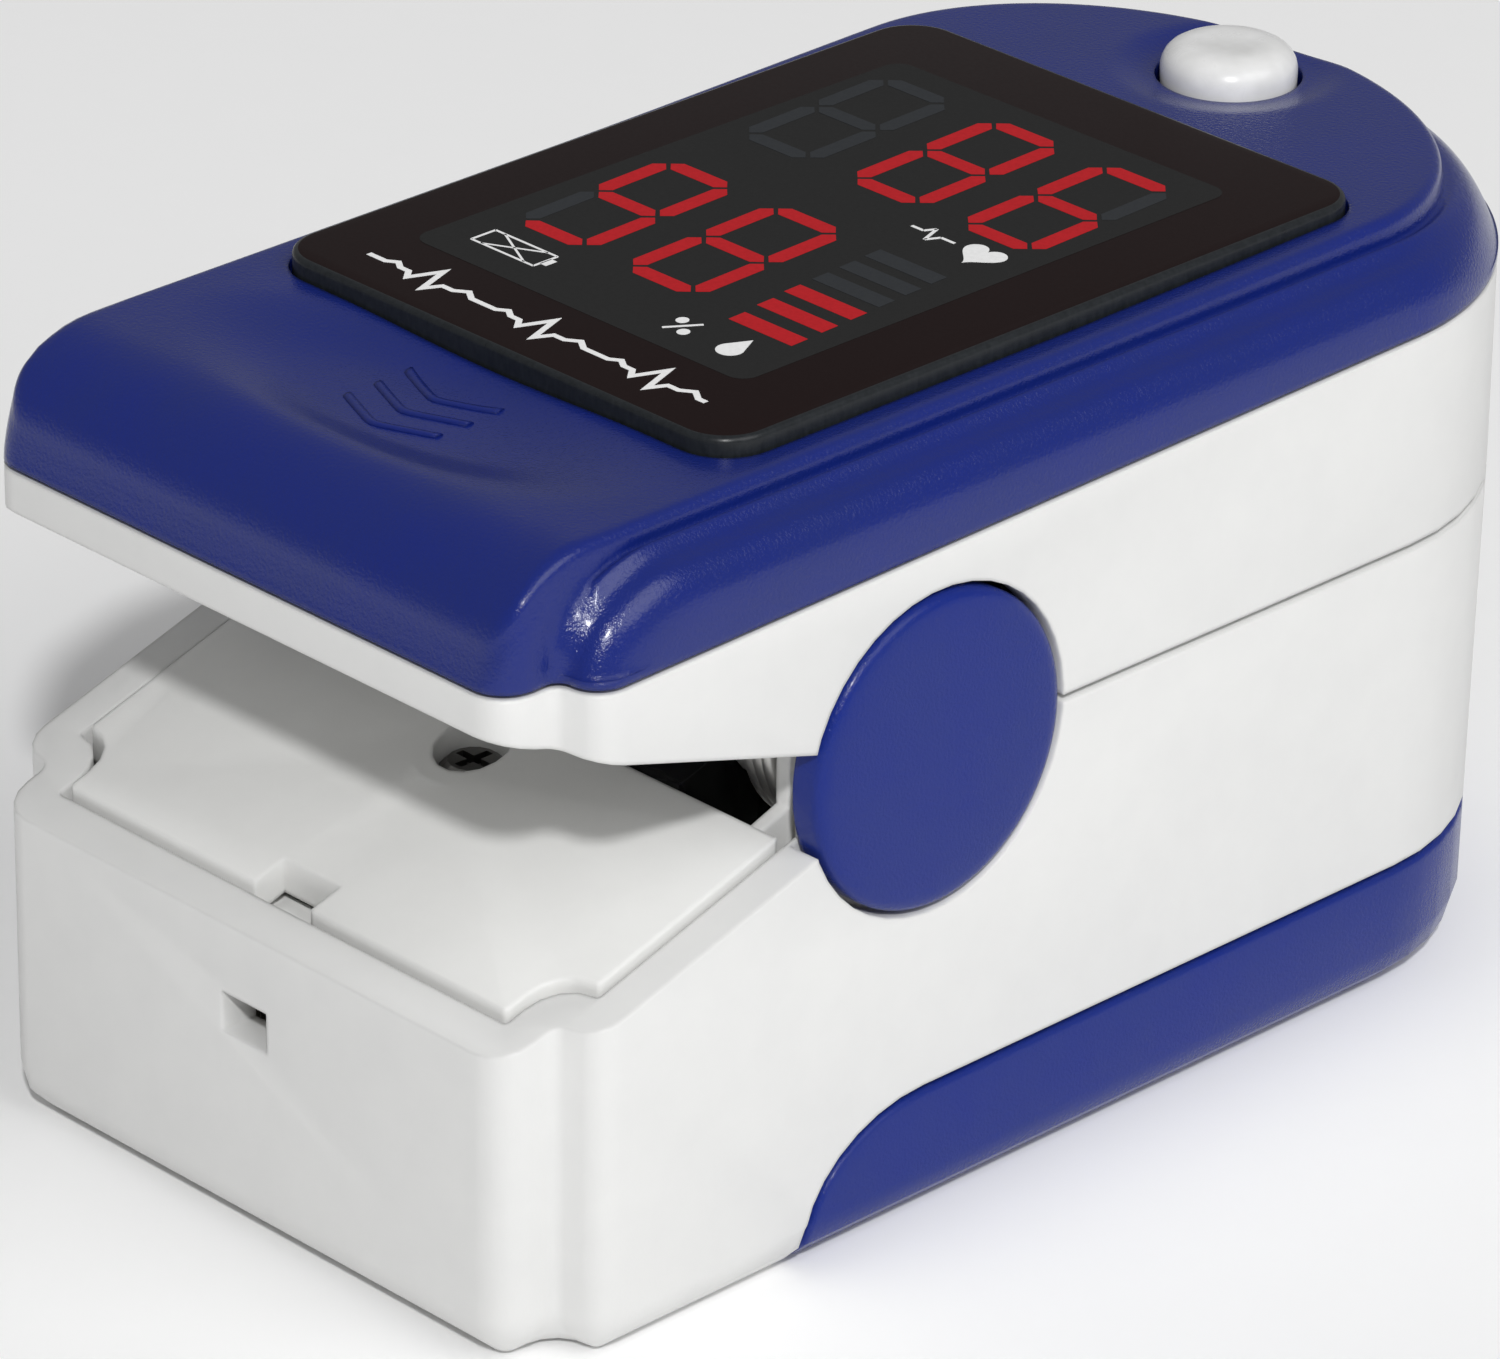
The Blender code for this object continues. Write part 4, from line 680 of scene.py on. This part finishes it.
def inNotchBlend(vertex):
    x, y, z = abs(vertex.co.x), vertex.co.y, vertex.co.z
    (lowX, highX), (lowY, highY) = notchBlend["x"], notchBlend["y"]
    return lowX * mm < x < highX * mm and lowY * mm < y < highY * mm and z > notchBlend["lowZ"] * mm


def buildCover():
    piece = shoulderPiece()
    cutWith(piece, platformPiece(), "UNION")
    trimAtSeam(piece)
    hollowCover(piece)
    cutDisplaySeat(piece)
    cutButtonHole(piece)
    selectParts(piece, "verts", inNotchBlend)
    bpy.ops.mesh.vertices_smooth(factor=notchBlend["factor"], repeat=notchBlend["rounds"])
    leaveEdit()
    finishPiece(piece, bluePlastic, "upper", ("top_cover",), 40)


buildCover()
print("top cover made")

# raised chevrons in the thumb scoop, which show where to press
chevron = {"places": (-18.3, -19.75, -21.2), "reach": 2.4, "rise": 1.0, "width": 0.42, "height": 0.1,
           "steps": 20,
           "section": ((-0.5, -0.1), (0.5, -0.1), (0.5, 0.3), (0.25, 1.0), (-0.25, 1.0), (-0.5, 0.3))}


def buildChevrons():
    bars = []
    for index, y in enumerate(chevron["places"]):
        rings = []
        for step in range(-chevron["steps"], chevron["steps"] + 1):
            x = chevron["reach"] * step / chevron["steps"]
            middle = y - chevron["rise"] * (1 - math.sqrt((x / chevron["reach"]) ** 2 + 0.01))
            ring = []
            for share, lift in chevron["section"]:
                across = share * chevron["width"]
                z = platformTop(x, middle + across) + lift * chevron["height"]
                ring.append((x, middle + across, z))
            rings.append(ring)
        bars.append(ringPiece(f"chevron{index}", rings))
    piece = joinPieces(bars[0], bars[1:])
    piece.name = "pressChevrons"
    finishPiece(piece, bluePlastic, "upper", (), 50)


buildChevrons()

lens = {"low": (-11.85, -16.55, 30.2), "high": (11.85, 16.45, 31.7), "cornerR": 2.0, "edge": 0.22,
        "panelLow": (-8.95, -12.25), "panelHigh": (8.35, 12.75), "panelCornerR": 0.75, "printLift": 0.012}
digit = {"width": 3.4, "height": 7.7, "thick": 0.72, "gap": 0.13, "slant": -0.035,
         "rows": (("98", (-5.88, -0.18), -4.38), (" 86", (-6.2, -0.45, 5.3), 7.27))}
# the strength bars beside the first number: middle, left end and right end of each, the lit ones first
levelBars = {"places": ((-8.4, 4.1, 7.3), (-6.8, 3.9, 7.2), (-5.25, 3.7, 7.1), (-3.75, 3.6, 7.0),
                        (-2.3, 3.5, 6.9), (-0.9, 3.4, 6.8)), "lit": 3, "halfHeight": 0.42,
             "slant": 0.03}
# which of the seven bars are lit: top, upper right, lower right, bottom, lower left, upper left, middle
litBars = {"9": (1, 1, 1, 1, 0, 1, 1), "8": (1, 1, 1, 1, 1, 1, 1), "6": (1, 0, 1, 1, 1, 1, 1), " ": (0,) * 7}


def printPlate(name, corners, lift=1.0, thickness=0.03):
    # a thin flat piece of ink on the lens, from its outline
    z = lens["high"][2] + lens["printLift"] * lift
    data = bpy.data.meshes.new(name)
    data.from_pydata([Vector((x, y, z)) * mm for x, y in corners], [], [tuple(range(len(corners)))])
    piece = bpy.data.objects.new(name, data)
    bpy.context.scene.collection.objects.link(piece)
    editPiece(piece)
    bpy.ops.mesh.select_all(action="SELECT")
    bpy.ops.mesh.normals_make_consistent(inside=False)
    bpy.ops.mesh.extrude_region_move(TRANSFORM_OT_translate={"value": (0, 0, -thickness * mm)})
    bpy.ops.mesh.select_all(action="SELECT")
    bpy.ops.mesh.normals_make_consistent(inside=False)
    leaveEdit()
    return piece


def roundedPlan(low, high, radius, steps=8):
    plan = arcPoints(high[0] - radius, low[1] + radius, radius, radius, -90, 0, steps)
    plan += arcPoints(high[0] - radius, high[1] - radius, radius, radius, 0, 90, steps)
    plan += arcPoints(low[0] + radius, high[1] - radius, radius, radius, 90, 180, steps)
    plan += arcPoints(low[0] + radius, low[1] + radius, radius, radius, 180, 270, steps)
    return plan


def barPlan(start, end, thick, gap):
    # a bar with both ends mitred to points
    run = Vector((end[0] - start[0], end[1] - start[1]))
    along = run.normalized()
    side = Vector((-along.y, along.x)) * thick / 2
    a = Vector(start) + along * gap
    b = Vector(end) - along * gap
    tip = thick / 2
    return [tuple(p) for p in (a, a + along * tip - side, b - along * tip - side, b, b - along * tip + side,
                               a + along * tip + side)]


def digitBars(centreX, centreY):
    halfX = (digit["width"] - digit["thick"] * 0.2) / 2
    halfY = (digit["height"] - digit["thick"] * 0.2) / 2

    def lean(x, y):
        return (centreX + x + y * digit["slant"], centreY + y)

    ends = (((-halfX, halfY), (halfX, halfY)), ((halfX, halfY), (halfX, 0)),
            ((halfX, 0), (halfX, -halfY)), ((-halfX, -halfY), (halfX, -halfY)),
            ((-halfX, 0), (-halfX, -halfY)), ((-halfX, halfY), (-halfX, 0)), ((-halfX, 0), (halfX, 0)))
    return [barPlan(lean(*a), lean(*b), digit["thick"], digit["gap"]) for a, b in ends]


def buildDisplay():
    body = block("displayLens", lens["low"], lens["high"])
    bevelEdges(body, lens["cornerR"], 12, isUpright)
    top = lens["high"][2] * mm
    bevelEdges(body, lens["edge"], 3, lambda e: all(abs(v.co.z - top) < 1e-6 for v in e.verts))
    finishPiece(body, lensSide, "upper", ("display_window",), 38)
    body.data.materials.append(lensPrint)
    for face in body.data.polygons:
        face.material_index = 1 if face.normal.z > 0.9 and face.center.z > top - 1e-5 else 0
    panelPlan = roundedPlan(lens["panelLow"], lens["panelHigh"], lens["panelCornerR"])
    panel = printPlate("innerPanel", panelPlan, 1.0)
    finishPiece(panel, panelPrint, "upper", (), 0)
    lit, ghost = [], []
    for text, centres, y in digit["rows"]:
        for sign, x in zip(text, centres):
            for index, plan in enumerate(digitBars(x, y)):
                target = lit if litBars[sign][index] else ghost
                target.append(printPlate("digitBar", plan, 2.0))
    half, slant = levelBars["halfHeight"], levelBars["slant"]
    for index, (y, low, high) in enumerate(levelBars["places"]):
        plan = [(low, y - half), (high, y - half), (high - slant, y + half), (low - slant, y + half)]
        target = lit if index < levelBars["lit"] else ghost
        target.append(printPlate("levelBar", plan, 2.0))
    for name, plates, finish in (("litBars", lit, litPrint), ("ghostBars", ghost, ghostPrint)):
        piece = joinPieces(plates[0], plates[1:])
        piece.name = name
        finishPiece(piece, finish, "upper", (), 0)


buildDisplay()


def strokePlan(points, width):
    # an outline round a line of points, mitred at its corners
    left, right = [], []
    for i, point in enumerate(points):
        before, after = points[max(i - 1, 0)], points[min(i + 1, len(points) - 1)]
        comes = Vector((point[0] - before[0], point[1] - before[1]))
        goes = Vector((after[0] - point[0], after[1] - point[1]))
        comes = comes.normalized() if comes.length else goes.normalized()
        goes = goes.normalized() if goes.length else comes
        side = Vector((-comes.y - goes.y, comes.x + goes.x)).normalized()
        reach = width / 2 / max(0.35, side.dot(Vector((-comes.y, comes.x))))
        left.append((point[0] + side.x * reach, point[1] + side.y * reach))
        right.append((point[0] - side.x * reach, point[1] - side.y * reach))
    return left + right[::-1]


# marks on the lens; a beat is distance and rise along the trace
icons = {"pulseY": -14.35, "pulseX": (-8.9, 8.7), "pulseWidth": 0.24, "pulseHeight": 0.9,
         "beatLength": 5.86, "beats": 3, "heart": (6.2, 1.85), "heartSize": 0.95,
         "battery": (-5.7, -10.15), "batterySize": (1.65, 0.6), "batteryLine": 0.11, "crossLine": 0.09,
         "nub": (0.32, 0.28), "drop": (6.05, -10.55), "dropSize": 0.85, "percent": (3.45, -10.45),
         "percentBar": (0.42, 0.62), "percentLine": 0.13, "dotAt": (0.38, -0.34),
         "dotSize": (0.24, 0.26), "tickLine": 0.14,
         "beat": ((0.0, 0.0), (0.9, 0.0), (1.3, 0.3), (1.7, 0.0), (2.15, 0.0), (2.5, -0.45),
                  (3.05, 1.0), (3.6, -0.75), (3.95, 0.0), (4.5, 0.0), (5.0, 0.38), (5.5, 0.0)),
         "tick": ((2.6, 1.9), (3.2, 1.9), (3.45, 2.35), (3.8, 1.35), (4.1, 1.9), (4.8, 1.9))}


def linePlates(name, points, width):
    return [printPlate(name, strokePlan([a, b], width), 2.0) for a, b in zip(points, points[1:])]


def pulseTrace():
    (low, high), y = icons["pulseX"], icons["pulseY"]
    line = []
    for start in range(icons["beats"]):
        left = low + start * icons["beatLength"]
        line += [(left + x, y + rise * icons["pulseHeight"]) for x, rise in icons["beat"]]
    line.append((high, y))
    return printPlate("trace", strokePlan(line, icons["pulseWidth"]), 1.0)


def heartPlan(steps=48):
    x, y = icons["heart"]
    size = icons["heartSize"] / 16  # the curve below is 16 wide to each side
    plan = []
    for t in [2 * math.pi * i / steps for i in range(steps)]:
        rise = 13 * math.cos(t) - 5 * math.cos(2 * t) - 2 * math.cos(3 * t) - math.cos(4 * t)
        plan.append((x + size * 16 * math.sin(t) ** 3, y + size * rise))
    return plan


def batteryPlates():
    # an empty battery with a cross in it
    x, y = icons["battery"]
    halfX, halfY = icons["batterySize"]
    nubLength, nubHalf = icons["nub"]
    low, high, left, right = y - halfY, y + halfY, x - halfX, x + halfX
    box = [(left, low), (right, low), (right, high), (left, high), (left, low)]
    plates = linePlates("batteryLine", box, icons["batteryLine"])
    plates.append(printPlate("batteryNub", [(right, y - nubHalf), (right + nubLength, y - nubHalf),
                                            (right + nubLength, y + nubHalf), (right, y + nubHalf)], 2.0))
    crossLeft, crossRight = x - halfX * 0.7, x + halfX * 0.7
    plates += linePlates("batteryCross", [(crossLeft, low), (crossRight, high)], icons["crossLine"])
    plates += linePlates("batteryCross", [(crossLeft, high), (crossRight, low)], icons["crossLine"])
    return plates


def dropPlan(steps=24):
    # a point above most of a circle
    (x, y), size = icons["drop"], icons["dropSize"]
    turns = [math.radians(35 - 250 * i / steps) for i in range(steps + 1)]
    radius = size * 0.62
    circle = [(x + radius * math.cos(t), y - size * 0.1 + radius * math.sin(t)) for t in turns]
    return [(x, y + size * 1.25)] + circle


def percentPlates(steps=20):
    x, y = icons["percent"]
    (barX, barY), (dotX, dotY), (wide, tall) = icons["percentBar"], icons["dotAt"], icons["dotSize"]
    plates = linePlates("percentBar", [(x - barX, y - barY), (x + barX, y + barY)], icons["percentLine"])
    for side in (-1, 1):
        dot = [(x + dotX * side + wide * math.cos(t), y + dotY * side + tall * math.sin(t))
               for t in [2 * math.pi * i / steps for i in range(steps)]]
        plates.append(printPlate("percentDot", dot, 2.0))
    return plates


def buildIcons():
    plates = [pulseTrace(), printPlate("heart", heartPlan(), 2.0)]
    plates += batteryPlates()
    plates.append(printPlate("drop", dropPlan(), 2.0))
    plates += percentPlates()
    plates += linePlates("tick", icons["tick"], icons["tickLine"])
    piece = joinPieces(plates[0], plates[1:])
    piece.name = "displayIcons"
    finishPiece(piece, iconPrint, "upper", (), 0)


buildIcons()
print("display made")

# profiles are (radius, distance along the axis): the button upwards, the cap outwards
button = {"profile": [(0.0, 29.92), (1.3, 29.92), (1.3, 30.3), (2.5, 30.3), (2.62, 30.4), (2.64, 31.05),
                      (2.64, 31.32), (2.58, 31.56), (2.47, 31.78), (2.3, 31.96), (2.06, 32.1), (1.78, 32.2),
                      (1.45, 32.25), (1.1, 32.26), (0.75, 32.25), (0.35, 32.24), (0.0, 32.235)]}
hingeCap = {"y": -9.3, "z": 18.9,
            "profile": [(0.0, 14.25), (6.0, 14.25), (6.1, 14.35), (6.1, 15.3), (6.07, 15.42), (6.0, 15.53),
                        (5.88, 15.61), (5.7, 15.66), (5.4, 15.69), (4.5, 15.72), (3.0, 15.75),
                        (1.5, 15.765), (0.0, 15.77)]}


def buildButton():
    piece = spunPiece("powerButtonCap", button["profile"], (cover["buttonX"], cover["buttonY"], 0), "Z", 96)
    finishPiece(piece, buttonPlastic, "button", ("power_button",), 40)


def buildCaps():
    for side, sign in (("Right", 1), ("Left", -1)):
        profile = [(radius, sign * x) for radius, x in hingeCap["profile"]]
        piece = spunPiece("hingeCap" + side, profile, (0, hingeCap["y"], hingeCap["z"]), "X", 128)
        finishPiece(piece, capPlastic, "lower", ("hinge_cap_" + side.lower(),), 40)


buildButton()
buildCaps()
print("button and caps made")

# each casing's piece name, the body it rides on, and how wide its edges are rounded
casings = {"lower_shell": ("lowerCasing", "lower", 0.3), "upper_shell": ("upperCasing", "upper", 0.22),
           "lower_frame": ("lowerPlate", "lower", 0.22), "upper_frame": ("upperPlate", "upper", 0.2),
           "battery_door": ("batteryDoor", "door", 0.16)}


def buildCasings():
    for node, (name, body, width) in casings.items():
        piece = nodeCopy(node, name)
        softenEdges(piece, width)
        isDoor = node == "battery_door"
        plastic = capPlastic if isDoor else brightenedPlatePlastic if node == "lower_frame" else whitePlastic
        finishPiece(piece, plastic, body, (node,), 34)


buildCasings()

notchFloor = {"low": (-2.1, -26.7, 10.6), "high": (2.1, -24.7, 12.0), "inset": 0.3, "sink": 0.15,
              "edgeR": 0.1}


def buildNotchFloor():
    # the ledge that shows at the bottom of the cord notch
    piece = block("notchFloor", notchFloor["low"], notchFloor["high"])
    selectParts(piece, "faces", lambda face: face.normal.z > 0.9)
    bpy.ops.mesh.inset(thickness=notchFloor["inset"] * mm)
    bpy.ops.transform.translate(value=(0, 0, -notchFloor["sink"] * mm))
    leaveEdit()
    bevelEdges(piece, notchFloor["edgeR"], 2, lambda e: True)
    # the notch floor takes the plate's lighter plastic, which is painted light
    finishPiece(piece, brightenedPlatePlastic, "lower", (), 40)


buildNotchFloor()
print("casings made")

pads = {"lower_finger_pad": ("lowerPad", "lower"), "upper_finger_pad": ("upperPad", "upper")}


def buildPads():
    for node, (name, body) in pads.items():
        piece = nodeCopy(node, name)
        softenEdges(piece, 0.45, 4, 40)
        finishPiece(piece, blackSilicone, body, (node,), 40)


buildPads()

spring = {"axisY": -9.3, "axisZ": 18.9, "wireR": 0.3, "coilR": 4.1, "turns": 3, "leg": 6.5,
          "span": (9.75, 11.45), "lowerLean": math.radians(17.4), "upperLean": math.radians(16.8),
          "stepsPerTurn": 48, "legSteps": 12}


def springRoute(low, high):
    start = spring["lowerLean"] - math.pi / 2
    sweep = 2 * math.pi * spring["turns"] + math.pi - spring["lowerLean"] - spring["upperLean"]
    steps = round(sweep / (2 * math.pi) * spring["stepsPerTurn"])
    route = []
    for i in range(steps + 1):
        share = i / steps
        turn = start + sweep * share
        route.append(Vector((low + (high - low) * share, spring["axisY"] + spring["coilR"] * math.cos(turn),
                             spring["axisZ"] + spring["coilR"] * math.sin(turn))))
    lowerLeg = Vector((0, -math.cos(spring["lowerLean"]), -math.sin(spring["lowerLean"])))
    upperLeg = Vector((0, -math.cos(spring["upperLean"]), math.sin(spring["upperLean"])))
    first, last = route[0], route[-1]
    count = spring["legSteps"]
    before = [first + lowerLeg * spring["leg"] * (1 - i / count) for i in range(count)]
    after = [last + upperLeg * spring["leg"] * (i + 1) / count for i in range(count)]
    return before + route + after


def wirePiece(name, route, radius):
    line = bpy.data.curves.new(name, "CURVE")
    line.dimensions = "3D"
    line.bevel_depth = radius * mm
    line.bevel_resolution = 3
    line.use_fill_caps = True
    spline = line.splines.new("POLY")
    spline.points.add(len(route) - 1)
    for point, place in zip(spline.points, route):
        point.co = (*(Vector(place) * mm), 1.0)
    piece = bpy.data.objects.new(name, line)
    bpy.context.scene.collection.objects.link(piece)
    pick(piece)
    bpy.ops.object.convert(target="MESH")
    piece = bpy.context.active_object
    editPiece(piece, "VERT")
    bpy.ops.mesh.select_all(action="SELECT")
    bpy.ops.mesh.remove_doubles(threshold=1e-7)
    leaveEdit()
    return piece


def buildSprings():
    low, high = spring["span"]
    for side, ends in (("Right", (low, high)), ("Left", (-high, -low))):
        piece = wirePiece("torsionSpring" + side, springRoute(*ends), spring["wireR"])
        finishPiece(piece, springSteel, None, ("torsion_spring_" + side.lower(),), 60)
        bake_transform(piece)


buildSprings()

ribbon = {"y": -14.3, "halfWidth": 1.8, "thickness": 0.14, "low": 13.4, "high": 25.72, "steps": 72,
          "cores": 6, "coreRise": 0.04, "stepsPerCore": 6, "bendFrom": 15.2, "bendTo": 23.0}


def buildRibbon():
    # flat cable with a row of raised cores, a straight strip between the jaws
    half, thick = ribbon["halfWidth"], ribbon["thickness"]
    section = []
    count = ribbon["cores"] * ribbon["stepsPerCore"]
    for i in range(count + 1):
        x = -half + 2 * half * i / count
        core = abs(math.sin(math.pi * ribbon["cores"] * (x + half) / (2 * half)))
        section.append((x, thick / 2 + ribbon["coreRise"] * core))
    loop = section + [(x, -y) for x, y in reversed(section)]
    rings = []
    for i in range(ribbon["steps"] + 1):
        z = ribbon["low"] + (ribbon["high"] - ribbon["low"]) * i / ribbon["steps"]
        rings.append([(x, ribbon["y"] + y, z) for x, y in loop])
    piece = ringPiece("flatCable", rings)
    finishPiece(piece, ribbonCable, None, ("sensor_ribbon",), 60)
    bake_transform(piece)


buildRibbon()
print("pads, springs and cable made")

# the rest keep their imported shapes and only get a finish
plainFinishes = {"detector_board": solderMask, "emitter_board": solderMask, "main_board": solderMask,
                 "detector_window": redWindow, "emitter_window": redWindow, "cell_left": cellJacket,
                 "cell_right": cellJacket, "contact_bridge": nickelPlate, "contact_left": nickelPlate,
                 "contact_right": nickelPlate, "battery_spring_left": springSteel,
                 "battery_spring_right": springSteel, "front_screw": screwSteel,
                 "rear_screw": screwSteel, "board_screw_left": screwSteel,
                 "board_screw_right": screwSteel, "hinge_pin_left": springSteel,
                 "hinge_pin_right": springSteel, "display_module": mouldedEpoxy,
                 "processor": mouldedEpoxy, "button_switch": mouldedEpoxy,
                 "switch_plunger": mouldedEpoxy}
for node, finish in plainFinishes.items():
    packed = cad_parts[node]
    packed.data.materials.clear()
    packed.data.materials.append(finish)
print("packed nodes finished")

# distances in the studio are metres, and the camera's place is in millimetres
studio = {"floorSize": 4.0, "floorColour": (0.97, 0.97, 0.97), "worldColour": (1.0, 1.0, 1.0),
          "worldStrength": 0.27, "keyFrom": (0.576, -0.522, 0.63), "keyDistance": 1.5, "keySize": 0.085,
          "keyPower": 12.4, "fillFrom": (0.8, 0.1, 0.75), "fillDistance": 1.5, "fillSize": 1.2,
          "fillPower": 9.1, "aimZ": 0.015, "floorZ": -0.00005}
camera = {"place": (210.15, -209.15, 159.45), "azimuth": 45.216, "elevation": 26.007, "roll": -0.905,
          "lens": 211.94, "shiftX": -0.0379, "shiftY": -0.0297}


def softLight(name, towards, distance, size, power):
    direction = Vector(towards).normalized()
    data = bpy.data.lights.new(name, "AREA")
    data.shape = "DISK"
    data.size = size
    data.energy = power
    light = bpy.data.objects.new(name, data)
    bpy.context.scene.collection.objects.link(light)
    light.location = direction * distance + Vector((0, 0, studio["aimZ"]))
    light.rotation_mode = "QUATERNION"
    light.rotation_quaternion = direction.to_track_quat("Z", "Y")


def buildStudio():
    clearSelection()
    bpy.ops.mesh.primitive_plane_add(size=studio["floorSize"], location=(0, 0, studio["floorZ"]))
    floor = bpy.context.active_object
    floor.name = "floor"
    made = Finish("paleFloor")
    grain = made.noise(300.0, 3.0)
    shade = made.blend(grain, studio["floorColour"], tuple(c * 0.98 for c in studio["floorColour"]))
    floor.data.materials.append(made.surface(colour=shade, roughness=0.7 + (grain - 0.5) * 0.1, gloss=0.2))
    world = bpy.data.worlds.new("studio")
    bpy.context.scene.world = world
    world.use_nodes = True
    background = world.node_tree.nodes["Background"]
    background.inputs["Color"].default_value = (*studio["worldColour"], 1.0)
    background.inputs["Strength"].default_value = studio["worldStrength"]
    softLight("keyLight", studio["keyFrom"], studio["keyDistance"], studio["keySize"], studio["keyPower"])
    softLight("fillLight", studio["fillFrom"], studio["fillDistance"], studio["fillSize"],
              studio["fillPower"])


def buildCamera():
    data = bpy.data.cameras.new("camera")
    data.sensor_width = 36.0
    data.lens = camera["lens"]
    data.shift_x = camera["shiftX"]
    data.shift_y = camera["shiftY"]
    data.clip_start, data.clip_end = 0.01, 10.0
    viewer = bpy.data.objects.new("camera", data)
    bpy.context.scene.collection.objects.link(viewer)
    azimuth, elevation = math.radians(camera["azimuth"]), math.radians(camera["elevation"])
    back = Vector((math.sin(azimuth) * math.cos(elevation), -math.cos(azimuth) * math.cos(elevation),
                   math.sin(elevation)))
    right = Vector((math.cos(azimuth), math.sin(azimuth), 0.0))
    up = back.cross(right)
    roll = math.radians(camera["roll"])
    rolledRight = right * math.cos(roll) - up * math.sin(roll)
    rolledUp = right * math.sin(roll) + up * math.cos(roll)
    turn = Matrix((rolledRight, rolledUp, back)).transposed()
    viewer.matrix_world = Matrix.Translation(Vector(camera["place"]) * mm) @ turn.to_4x4()
    bpy.context.scene.camera = viewer


buildStudio()
buildCamera()
print("studio made")
